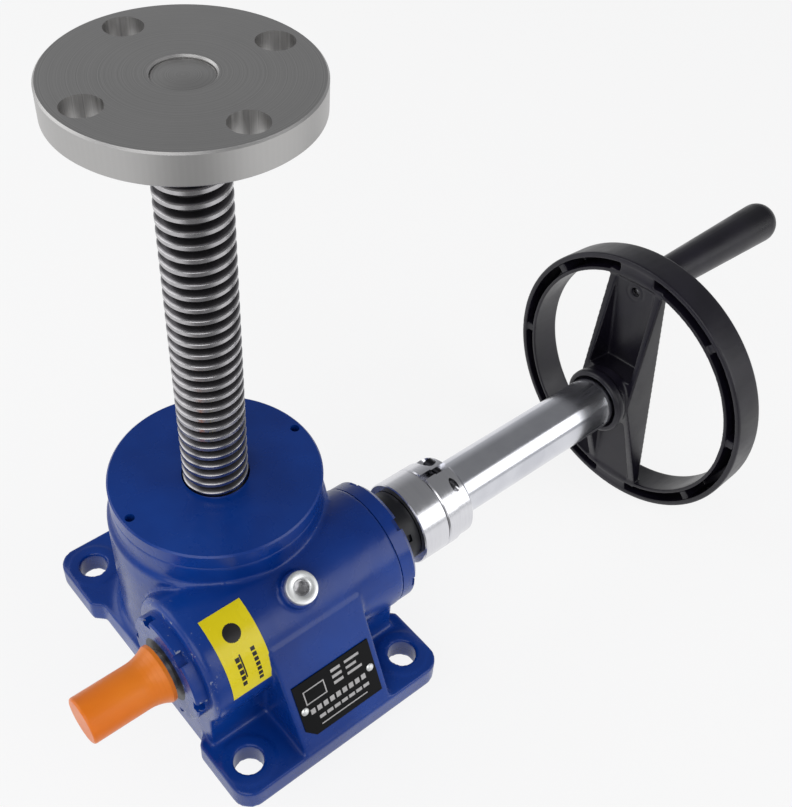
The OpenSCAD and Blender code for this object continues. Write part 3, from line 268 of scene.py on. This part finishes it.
def turned(name, light, dark, rough, along, pitch=2600.0, cloudy=0.3, depth=0.00006):
    """Turned metal: fine marks that follow the value made by along(m), under faint clouds."""
    m = Nodes(name)
    marks = m.lines(pitch, along(m))
    cloud = m.noise(30, 4)
    tone = m.math("ADD", m.math("MULTIPLY", marks, 1 - cloudy), m.math("MULTIPLY", cloud, cloudy))
    m.set(Base_Color=m.mix(m.ramp(tone, 0.32, 0.68), dark, light), Metallic=1.0)
    m.set(Roughness=m.ramp(marks, 0.3, 0.7, rough - 0.05, rough + 0.07))
    m.set(Normal=m.bump(marks, depth, 0.22, m.bump(m.noise(500, 4), 0.00004, 0.2)))
    return m.material


def round_screw_axis(m):
    """Distance from the screw's axis."""
    parts = m.split(m.place(offset=(-SCREW_AXIS.x, -SCREW_AXIS.y, 0)))
    return m.distance(parts[0], parts[1])


def along_worm_axis(m):
    """Place along the worm's axis."""
    return m.split()[0]


def steel_plain(name, light, dark, rough, scale=200):
    """Plain metal: two near tones in clouds, and a fine grain."""
    m = Nodes(name)
    m.set(Base_Color=m.mix(m.clouds(scale, 5), dark, light), Metallic=1.0)
    m.set(Roughness=m.clouds(scale * 2, 4, rough - 0.06, rough + 0.08))
    m.set(Normal=m.bump(m.noise(scale * 4, 3), 0.00004, 0.25))
    return m.material


def thread_steel():
    """Thread steel, painted bright on the crests and dark on the flanks and in the roots: painted
    highlight and painted shade.
    """
    m = Nodes("screw_steel")
    # Distance out from the root: the crests get a painted highlight, the flanks and roots painted
    # shade
    height = m.ramp(round_screw_axis(m), ROOT_R, CREST_R)
    grime = m.noise(260, 5, 0.7)
    dark = m.mix(grime, srgb(58, 57, 60), srgb(98, 96, 99))
    bright = m.mix(grime, srgb(150, 149, 152), srgb(212, 210, 212))
    crest_highlight = m.ramp(height, 0.72, 1.0)
    m.set(Base_Color=m.mix(crest_highlight, dark, bright), Metallic=1.0)
    m.set(Roughness=m.ramp(height, 0.1, 1.0, 0.42, 0.26))
    m.set(Normal=m.bump(m.noise(900, 4), 0.00006, 0.3))
    return m.material


def chrome():
    """Bright chrome with faint drawing lines along the worm's axis."""
    m = Nodes("chrome_plate")
    drawn = m.noise(1400, 3, 0.6, m.place(scale=(0.02, 1, 1)))
    smear = m.clouds(22, 4, edge=0.35)
    m.set(Base_Color=m.mix(smear, srgb(206, 207, 214), srgb(230, 231, 236)), Metallic=1.0)
    m.set(Roughness=m.ramp(m.noise(30, 5, 0.6), 0.3, 0.7, 0.13, 0.19))
    m.set(Normal=m.bump(drawn, 0.00003, 0.25))
    return m.material


def plastic(name, low, high, rough, grain=1500, depth=0.00006, streak=(1, 1, 1), shine=0.5):
    """Moulded plastic: two near tones, a fine spark-eroded grain and uneven gloss."""
    m = Nodes(name)
    tone = m.ramp(m.noise(28, 4, vector=m.place(scale=streak)), 0.35, 0.65)
    m.set(Base_Color=m.mix(tone, low, high), IOR=1.45, Specular_IOR_Level=shine)
    m.set(Roughness=m.clouds(55, 5, rough - 0.07, rough + 0.09))
    m.set(Normal=m.bump(m.noise(grain, 3), depth, 0.5, m.bump(m.noise(60, 2), 0.0003, 0.12)))
    return m.material


def bronze(name, light, dark):
    """Cast copper alloy with soft stains."""
    m = Nodes(name)
    m.set(Base_Color=m.mix(m.clouds(140, 6, edge=0.35), dark, light), Metallic=1.0)
    m.set(Roughness=m.clouds(90, 4, 0.26, 0.42))
    m.set(Normal=m.bump(m.noise(700, 4), 0.00008, 0.3))
    return m.material


MATERIALS = {
    "cast_paint": paint_blue(),
    "machined_steel": steel_plain("machined_steel", srgb(178, 178, 180), srgb(150, 150, 153), 0.30),
    "screw_steel": thread_steel(),
    "bearing_steel": steel_plain("bearing_steel", srgb(190, 190, 194), srgb(165, 165, 170), 0.16,
                                 90),
    "nut_bronze": bronze("nut_bronze", srgb(196, 148, 84), srgb(160, 114, 58)),
    "cage_brass": bronze("cage_brass", srgb(206, 176, 106), srgb(176, 142, 78)),
    "chrome_plate": chrome(),
    "zinc_plate": steel_plain("zinc_plate", srgb(246, 247, 247), srgb(234, 236, 236), 0.42, 60),
    "black_plastic": plastic("black_plastic", srgb(13, 11, 20), srgb(24, 21, 33), 0.34),
    "black_rubber": plastic("black_rubber", srgb(10, 11, 16), srgb(20, 22, 30), 0.40, 900),
    "black_steel": steel_plain("black_steel", srgb(52, 52, 55), srgb(34, 34, 36), 0.36),
    "orange_plastic": plastic("orange_plastic", srgb(236, 116, 16), srgb(246, 134, 30), 0.36,
                              1100, 0.00004, (0.4, 1, 1)),
    "label_yellow": plastic("label_yellow", srgb(226, 206, 8), srgb(236, 218, 24), 0.26,
                            800, 0.00001),
    "plate_black": plastic("plate_black", srgb(3, 3, 5), srgb(9, 9, 12), 0.42,
                           1200, 0.00001, shine=0.2),
}
FLANGE_STEEL = turned("flange_steel", srgb(192, 191, 190), srgb(168, 167, 166), 0.42,
                      round_screw_axis, cloudy=0.15)
SLEEVE_CHROME = turned("sleeve_chrome", srgb(228, 228, 232), srgb(212, 212, 217), 0.20,
                       along_worm_axis, 1800.0, 0.5, 0.00002)
PRINT_BLACK = plastic("print_black", srgb(20, 16, 18), srgb(32, 26, 27), 0.34, 900, 0.00001)
PRINT_PALE = plastic("print_pale", srgb(168, 166, 166), srgb(196, 194, 194), 0.34, 900, 0.00001)


def set_material(obj, material):
    obj.data.materials.clear()
    obj.data.materials.append(material)


for part in frame["record"]["subparts"]:
    set_material(NODES[part["node"]], MATERIALS[part["material_slot"]])
set_material(NODES["top_flange"], FLANGE_STEEL)
set_material(NODES["coupling_sleeve"], SLEEVE_CHROME)
set_material(NODES["clamp_collar"], SLEEVE_CHROME)


# ---------------------------------------------------------------- mesh helpers

def new_piece(name, verts, faces, material, body):
    """Mesh object from lists of points and faces, riding on a CAD body."""
    mesh = bpy.data.meshes.new(name)
    mesh.from_pydata([tuple(v) for v in verts], [], [tuple(f) for f in faces])
    mesh.validate()
    mesh.materials.append(material)
    obj = bpy.data.objects.new(name, mesh)
    bpy.context.scene.collection.objects.link(obj)
    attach(obj, body)
    return obj


def smooth_below(obj, degrees):
    """Merges doubled points and shades smooth, but for edges sharper than an angle."""
    bm = bmesh.new()
    bm.from_mesh(obj.data)
    bmesh.ops.remove_doubles(bm, verts=bm.verts, dist=1e-7)
    bmesh.ops.dissolve_degenerate(bm, dist=1e-7, edges=bm.edges)
    bmesh.ops.recalc_face_normals(bm, faces=bm.faces)
    for face in bm.faces:
        face.smooth = True
    for edge in bm.edges:
        edge.smooth = edge.calc_face_angle(0.0) < math.radians(degrees)
    bm.to_mesh(obj.data)
    bm.free()


def apply_modifiers(obj):
    """Replaces an object's mesh by what its modifiers make of it."""
    bpy.context.view_layer.update()
    graph = bpy.context.evaluated_depsgraph_get()
    mesh = bpy.data.meshes.new_from_object(obj.evaluated_get(graph))
    old = obj.data
    obj.modifiers.clear()
    obj.data = mesh
    bpy.data.meshes.remove(old)


def soften(node, name, slot, voxel, rounds, keep):
    """Replaces a CAD node by a copy with softly rounded edges.

    The copy is remeshed at the voxel's size, smoothed for some rounds, and then thinned to the
    share of its faces that is kept.
    """
    obj = bpy.data.objects.new(name, NODES[node].data.copy())
    bpy.context.scene.collection.objects.link(obj)
    bm = bmesh.new()
    bm.from_mesh(obj.data)
    bmesh.ops.remove_doubles(bm, verts=bm.verts, dist=1e-6)
    bm.to_mesh(obj.data)
    bm.free()
    remesh = obj.modifiers.new("remesh", "REMESH")
    remesh.mode = "VOXEL"
    remesh.voxel_size = voxel
    smooth = obj.modifiers.new("smooth", "SMOOTH")
    smooth.factor = 0.5
    smooth.iterations = rounds
    thin = obj.modifiers.new("thin", "DECIMATE")
    thin.ratio = keep
    apply_modifiers(obj)
    obj.data.shade_smooth()
    set_material(obj, MATERIALS[slot])
    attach(obj, NODES[node]["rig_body"])
    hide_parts(node)


def lathe(rows, matrix, steps=96):
    """Points and faces of rows (radius, height, sides) turned about a frame's Z axis.

    Rows with 0 sides are circles, and others are polygons with that many corners.
    """
    verts, faces = [], []
    for radius, height, sides in rows:
        for k in range(steps):
            a = 2 * math.pi * k / steps
            r = radius
            if sides:
                half = math.pi / sides
                r = radius * math.cos(half) / math.cos((a % (2 * half)) - half)
            verts.append(matrix @ Vector((r * math.cos(a), r * math.sin(a), height)))
    for row in range(len(rows) - 1):
        a = row * steps
        for k in range(steps):
            n = (k + 1) % steps
            faces.append((a + k, a + n, a + steps + n, a + steps + k))
    faces.append(tuple(range(steps))[::-1])
    last = (len(rows) - 1) * steps
    faces.append(tuple(range(last, last + steps)))
    return verts, faces


def join_parts(parts):
    """One list of points and one of faces from several pairs."""
    verts, faces = [], []
    for v, f in parts:
        start = len(verts)
        verts.extend(v)
        faces.extend([tuple(start + i for i in face) for face in f])
    return verts, faces


# ---------------------------------------------------------------- lifting screw

def thread_profile():
    """One turn's points (height, radius drop) of a trapezoidal thread with eased corners."""
    flank = THREAD_DEPTH * math.tan(THREAD_FLANK)
    crest = 0.366 * PITCH
    root = PITCH - crest - 2 * flank
    ease = 0.045 * PITCH
    half = crest / 2
    foot = half + flank
    return [
        (-foot - root / 2, THREAD_DEPTH),
        (-foot - ease / 2, THREAD_DEPTH), (-foot, THREAD_DEPTH - ease),
        (-half, ease), (-half + ease, 0.0),
        (half - ease, 0.0), (half, ease),
        (foot, THREAD_DEPTH - ease), (foot + ease / 2, THREAD_DEPTH)
    ]


def threaded_rod(low, high):
    """Right-hand thread between two heights, in phase with the CAD screw."""
    steps = SCREW_STEPS
    profile = thread_profile()
    width = len(profile)
    lead_in = PITCH * math.ceil((WORM_AXIS.z - low) / PITCH + 1)
    first = WORM_AXIS.z - lead_in
    count = int((high - first) / PITCH + 2) * steps + 1
    index = np.arange(count)
    angle = 2 * np.pi * index / steps
    base = first + PITCH * index / steps
    rings = []
    for rise, drop in profile:
        height = base + rise
        inside = (height > low + PITCH / 2) & (height < high)
        r = np.where(inside, CREST_R - drop, ROOT_R)
        z = np.clip(height, low, high)
        x = SCREW_AXIS.x + r * np.cos(angle)
        y = SCREW_AXIS.y + r * np.sin(angle)
        rings.append(np.stack([x, y, z], 1))
    verts = np.stack(rings, 1).reshape(-1, 3)
    faces = []
    for i in range(count - 1):
        this, after = i * width, (i + 1) * width
        for j in range(width - 1):
            faces.append((this + j, after + j, after + j + 1, this + j + 1))
        if i + steps + 1 < count:
            # The top of this turn's profile joins the foot of the next turn's
            above = this + steps * width
            faces.append((this + width - 1, after + width - 1, above + width, above))
    return verts, faces


def make_lifting_screw():
    """Screw with a smooth shaded thread, a flat foot, a collar and a bright spigot face."""
    low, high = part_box("lifting_screw")
    flange_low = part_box("top_flange")[0].z
    collar_low = flange_low - COLLAR_L
    chamfer = 0.8 * MM
    axis = Matrix.Translation((SCREW_AXIS.x, SCREW_AXIS.y, 0))
    rod = threaded_rod(low.z, collar_low)
    foot = lathe([(ROOT_R, low.z, 0), (ROOT_R, low.z + 0.01 * MM, 0)], axis, SCREW_STEPS)
    head = lathe([
        (ROOT_R, collar_low, 0), (CREST_R - chamfer, collar_low, 0),
        (CREST_R, collar_low + chamfer, 0), (CREST_R, flange_low, 0),
        (SPIGOT_R, flange_low, 0), (SPIGOT_R, high.z - chamfer, 0),
        (SPIGOT_R - 0.3 * chamfer, high.z - 0.3 * chamfer, 0), (SPIGOT_R - chamfer, high.z, 0)
    ], axis, SCREW_STEPS)
    verts, faces = join_parts([rod, foot, head])
    screw = new_piece("threaded_screw", verts, faces, MATERIALS["screw_steel"], "screw")
    screw.data.materials.append(FLANGE_STEEL)
    for face in screw.data.polygons:
        on_spigot = face.center.z > flange_low + 1 * MM
        face.material_index = 1 if on_spigot else 0
    smooth_below(screw, 42)
    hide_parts("lifting_screw")


# ---------------------------------------------------------------- filler plug

def make_plug():
    """Plug with a turned head, an eased rim and a deep hexagon socket."""
    turn = Matrix.Rotation(PLUG_LEAN, 4, "X")
    plug_axis = Matrix.Translation((0, WORM_AXIS.y, WORM_AXIS.z)) @ turn
    head_r, shank_r, shank_l = 7.8 * MM, 5 * MM, 10 * MM
    socket_r, socket_depth = 3.2 * MM, 4.5 * MM
    seat = BARREL_R + 3.5 * MM
    top = seat + 3.2 * MM
    rows = [
        (shank_r, seat - shank_l, 0), (shank_r, seat, 0),
        (head_r - 0.5 * MM, seat, 0), (head_r, seat + 0.5 * MM, 0),
        (head_r, top - 0.7 * MM, 0), (head_r - 0.25 * MM, top - 0.2 * MM, 0),
        (head_r - 0.8 * MM, top, 0), (socket_r + 1.1 * MM, top, 0),
        (socket_r + 0.7 * MM, top - 0.3 * MM, 0), (socket_r + 0.4 * MM, top - 0.8 * MM, 0),
        (socket_r, top - 0.9 * MM, 6), (socket_r, top - socket_depth, 6),
        (1.0 * MM, top - socket_depth - 0.5 * MM, 6)
    ]
    verts, faces = lathe(rows, plug_axis)
    plug = new_piece("socket_plug", verts, faces, MATERIALS["zinc_plate"], "gearbox")
    # Second material, a darker steel on the socket's faces: painted shade in the hexagon recess
    plug.data.materials.append(MATERIALS["machined_steel"])
    to_plug = plug_axis.inverted()
    for face in plug.data.polygons:
        place = to_plug @ face.center
        inward = place.xy.length < socket_r + 0.45 * MM
        in_socket = inward and place.z > top - socket_depth - 0.6 * MM
        face.material_index = 1 if in_socket else 0
    smooth_below(plug, 40)
    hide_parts("filler_plug")


# ---------------------------------------------------------------- label and name plate

def curved_block(x0, x1, a0, a1, low, high):
    """Thin closed patch bent round the worm barrel; angles run from straight up to the front."""
    steps = max(1, math.ceil(abs(a1 - a0) / math.radians(2)))
    verts, faces = [], []
    for k in range(steps + 1):
        a = a0 + (a1 - a0) * k / steps
        for x, lift in ((x0, low), (x1, low), (x1, high), (x0, high)):
            r = BARREL_R + lift
            verts.append((x, WORM_AXIS.y - r * math.sin(a), WORM_AXIS.z + r * math.cos(a)))
    for k in range(steps):
        for j in range(4):
            n = (j + 1) % 4
            faces.append((4 * k + j, 4 * k + n, 4 * k + 4 + n, 4 * k + 4 + j))
    faces.append((3, 2, 1, 0))
    faces.append(tuple(4 * steps + j for j in range(4)))
    return verts, faces


def curved_disc(x, angle, radius, low, high, rows=24):
    """Round patch bent round the worm barrel, made of strips."""
    parts = []
    for k in range(rows):
        y0 = -radius + 2 * radius * k / rows
        y1 = -radius + 2 * radius * (k + 1) / rows
        half = math.sqrt(max(0.0, radius ** 2 - ((y0 + y1) / 2) ** 2))
        a0, a1 = angle + y0 / BARREL_R, angle + y1 / BARREL_R
        parts.append(curved_block(x - half, x + half, a0, a1, low, high))
    return parts


def make_label():
    """Generic label print: a plain dark spot, two columns of short bars and a line between them.

    Places and sizes are shares of the label's width and of its wrap.
    """
    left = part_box("warning_label")[0].x
    width = size_of("warning_label").x
    low, high = 0.12 * MM, 0.24 * MM
    spot_x, spot_angle = left + 0.47 * width, LABEL_TOP + 0.27 * LABEL_WRAP
    parts = curved_disc(spot_x, spot_angle, 0.20 * width, low, high)
    # Place across the label, width, number of bars, start and end
    columns = (
        (0.27, 0.10, 5, 0.52, 0.90),
        (0.38, 0.035, 1, 0.50, 0.90),
        (0.66, 0.10, 7, 0.50, 0.94)
    )
    for column, bar_width, count, start, end in columns:
        step = (end - start) / count
        x0, x1 = left + column * width, left + (column + bar_width) * width
        for k in range(count):
            a = start + step * k
            a0 = LABEL_TOP + a * LABEL_WRAP
            a1 = LABEL_TOP + (a + step * 0.72) * LABEL_WRAP
            parts.append(curved_block(x0, x1, a0, a1, low, high))
    verts, faces = join_parts(parts)
    new_piece("label_print", verts, faces, PRINT_BLACK, "gearbox")


def flat_block(matrix, x0, x1, y0, y1, low, high):
    """Thin closed bar in a plane's own frame."""
    corners = ((x0, y0), (x1, y0), (x1, y1), (x0, y1))
    verts = [matrix @ Vector((x, y, z)) for z in (low, high) for x, y in corners]
    faces = [(3, 2, 1, 0), (4, 5, 6, 7), (0, 1, 5, 4), (1, 2, 6, 5), (2, 3, 7, 6), (3, 0, 4, 7)]
    return verts, faces


def make_plate_print():
    """Generic name plate print: an empty box, pale bars in rows and a line below them."""
    lean = Matrix.Rotation(math.pi / 2 - PAD_LEAN, 4, "X")
    plate = Matrix.Translation(middle("name_plate")) @ lean
    low, high = 0.2 * MM, 0.36 * MM

    def bar(x0, x1, y0, y1):
        """Bar between millimetre places from the plate's centre."""
        return flat_block(plate, x0 * MM, x1 * MM, y0 * MM, y1 * MM, low, high)

    parts = []
    for row, y in enumerate((11.2, 7.8, 4.4)):
        parts.append(bar(-1.0, 4.5, y - 0.8, y + 0.8))
        parts.append(bar(7.0, 15.5 - 2.5 * (row % 2), y - 0.7, y + 0.7))
    for k in range(9):
        parts.append(bar(-16.5 + 3.7 * k, -14.0 + 3.7 * k, -3.6, -0.8))
    for k in range(7):
        parts.append(bar(-13.0 + 4.3 * k, -9.6 + 4.3 * k, -8.2, -6.4))
    parts.append(bar(-13.0, 14.0, -11.6, -11.0))
    for x0, x1, y0, y1 in ((-17.5, -5.5, 2.4, 3.0), (-17.5, -5.5, 9.4, 10.0),
                           (-17.5, -16.9, 3.0, 9.4), (-6.1, -5.5, 3.0, 9.4)):
        parts.append(bar(x0, x1, y0, y1))
    verts, faces = join_parts(parts)
    new_piece("plate_print", verts, faces, PRINT_PALE, "gearbox")


# ---------------------------------------------------------------- stage

FLOOR_GLOW = 0.85
BACKDROP_GLOW = 0.9
WALL_GLOW_LOW, WALL_GLOW_HIGH = 0.6, 0.24

# Patch of the floor that is dark in reflections: level directions towards the camera and across
# that view, and the distances along each at which it starts, is full, fades and has ended
TO_FRONT = Vector((-0.51, -0.86, 0))
TO_SIDE = Vector((-0.86, 0.51, 0))
PATCH_LENGTH = (0.08, 0.2, 0.9, 1.3)
PATCH_WIDTH = (-0.28, -0.16, 0.16, 0.28)
PATCH_DARKNESS = 0.85


def stage_floor():
    """Pale floor, lifted towards white for the camera and for shiny metal; it keeps its shadow.

    A patch in front of the jack is dark in reflections only, which gives the round steel a
    darker middle.
    """
    m = Nodes("stage_floor")
    m.set(Base_Color=srgb(238, 238, 240), Roughness=0.9)
    glow = m.tree.nodes.new("ShaderNodeEmission")
    path = m.tree.nodes.new("ShaderNodeLightPath").outputs
    seen = m.math("MAXIMUM", path["Is Camera Ray"], path["Is Glossy Ray"])
    seen = m.math("MAXIMUM", seen, path["Is Transmission Ray"])
    place = m.tree.nodes.new("ShaderNodeNewGeometry").outputs["Position"]

    def band(direction, start, full, fades, end):
        """1 between two distances from the frame's origin in a direction, with soft ends."""
        dot = m.tree.nodes.new("ShaderNodeVectorMath")
        dot.operation = "DOT_PRODUCT"
        m.link(place, dot.inputs[0])
        dot.inputs[1].default_value = direction
        distance = dot.outputs["Value"]
        return m.math("MULTIPLY", m.ramp(distance, start, full), m.ramp(distance, end, fades))

    patch = m.math("MULTIPLY", band(TO_FRONT, *PATCH_LENGTH), band(TO_SIDE, *PATCH_WIDTH))
    dark = m.math("MULTIPLY", patch, path["Is Glossy Ray"])
    dimmed = m.math("MULTIPLY", dark, PATCH_DARKNESS)
    m.link(m.math("SUBTRACT", 1.0, dimmed), glow.inputs["Strength"])
    mixer = m.tree.nodes.new("ShaderNodeMixShader")
    m.link(m.math("MULTIPLY", seen, FLOOR_GLOW), mixer.inputs[0])
    m.link(m.shader.outputs[0], mixer.inputs[1])
    m.link(glow.outputs[0], mixer.inputs[2])
    m.link(mixer.outputs[0], m.out.inputs["Surface"])
    return m.material


def make_world():
    """Studio walls: light at the horizon and dim overhead, but pale where the camera sees them."""
    world = bpy.data.worlds.new("studio")
    world.use_nodes = True
    bpy.context.scene.world = world
    tree = world.node_tree
    height = tree.nodes.new("ShaderNodeSeparateXYZ")
    tree.links.new(tree.nodes.new("ShaderNodeTexCoord").outputs["Generated"], height.inputs[0])
    fade = tree.nodes.new("ShaderNodeMapRange")
    fade.inputs["From Min"].default_value = 0.0
    fade.inputs["From Max"].default_value = 0.6
    fade.inputs["To Min"].default_value = WALL_GLOW_LOW
    fade.inputs["To Max"].default_value = WALL_GLOW_HIGH
    tree.links.new(height.outputs[2], fade.inputs["Value"])
    backdrop = tree.nodes.new("ShaderNodeMix")
    path = tree.nodes.new("ShaderNodeLightPath")
    tree.links.new(path.outputs["Is Camera Ray"], backdrop.inputs["Factor"])
    tree.links.new(fade.outputs["Result"], backdrop.inputs["A"])
    backdrop.inputs["B"].default_value = BACKDROP_GLOW
    background = tree.nodes["Background"]
    tree.links.new(backdrop.outputs["Result"], background.inputs["Strength"])
    background.inputs["Color"].default_value = (0.97, 0.98, 1.0, 1)


def make_stage():
    """Large floor just under the lowest point of the jack at rest."""
    floor_z = cad_bounds[0][2] - 1 * MM
    size = 6.0
    mesh = bpy.data.meshes.new("stage_floor")
    mesh.from_pydata([(-size, -size, floor_z), (size, -size, floor_z),
                      (size, size, floor_z), (-size, size, floor_z)], [], [(0, 1, 2, 3)])
    mesh.materials.append(stage_floor())
    floor = bpy.data.objects.new("stage_floor", mesh)
    bpy.context.scene.collection.objects.link(floor)


LIGHT_AIM = Vector((0.06, -0.02, 0.1))


def area_light(name, place, width, height, power):
    """Soft lamp that looks at the middle of the jack."""
    data = bpy.data.lights.new(name, "AREA")
    data.energy = power
    data.shape = "RECTANGLE"
    data.size = width
    data.size_y = height
    lamp = bpy.data.objects.new(name, data)
    lamp.location = place
    aim = LIGHT_AIM - Vector(place)
    lamp.rotation_euler = aim.to_track_quat("-Z", "Y").to_euler()
    bpy.context.scene.collection.objects.link(lamp)


def make_lights():
    area_light("key", (-1.1, -0.7, 1.2), width=1.5, height=1.5, power=12)
    area_light("side", (0.75, -1.15, 0.72), width=1.1, height=0.9, power=6)
    area_light("back", (-0.9, 1.1, 1.0), width=1.3, height=1.3, power=8)


def make_camera():
    """Camera at the product shot's viewing angle, slightly shifted as the shot is framed."""
    place = Vector((-177.3, -283.2, 496.6)) * MM
    heading, down, roll = math.radians(47.06), math.radians(46.06), math.radians(4.29)
    level = Vector((math.cos(heading), math.sin(heading), 0))
    forward = level * math.cos(down) - Vector((0, 0, math.sin(down)))
    right = Vector((math.sin(heading), -math.cos(heading), 0))
    up = right.cross(forward)
    turned_right = right * math.cos(roll) + up * math.sin(roll)
    turned_up = up * math.cos(roll) - right * math.sin(roll)
    data = bpy.data.cameras.new("camera")
    data.sensor_fit = "VERTICAL"
    data.sensor_height = 24.0
    data.lens = 33.46617
    data.shift_x = 0.0178439
    data.shift_y = 0.0254027
    data.clip_start = 0.01
    camera = bpy.data.objects.new("camera", data)
    matrix = Matrix((turned_right, turned_up, -forward)).transposed().to_4x4()
    matrix.translation = place
    camera.matrix_world = matrix
    bpy.context.scene.collection.objects.link(camera)
    bpy.context.scene.camera = camera


make_lifting_screw()
make_plug()
soften("housing", "cast_housing", "cast_paint", voxel=0.9 * MM, rounds=5, keep=0.45)
soften("hand_wheel", "moulded_wheel", "black_plastic", voxel=0.5 * MM, rounds=12, keep=0.16)
make_label()
make_plate_print()
make_world()
make_stage()
make_lights()
make_camera()
bpy.context.scene.view_settings.view_transform = "Standard"
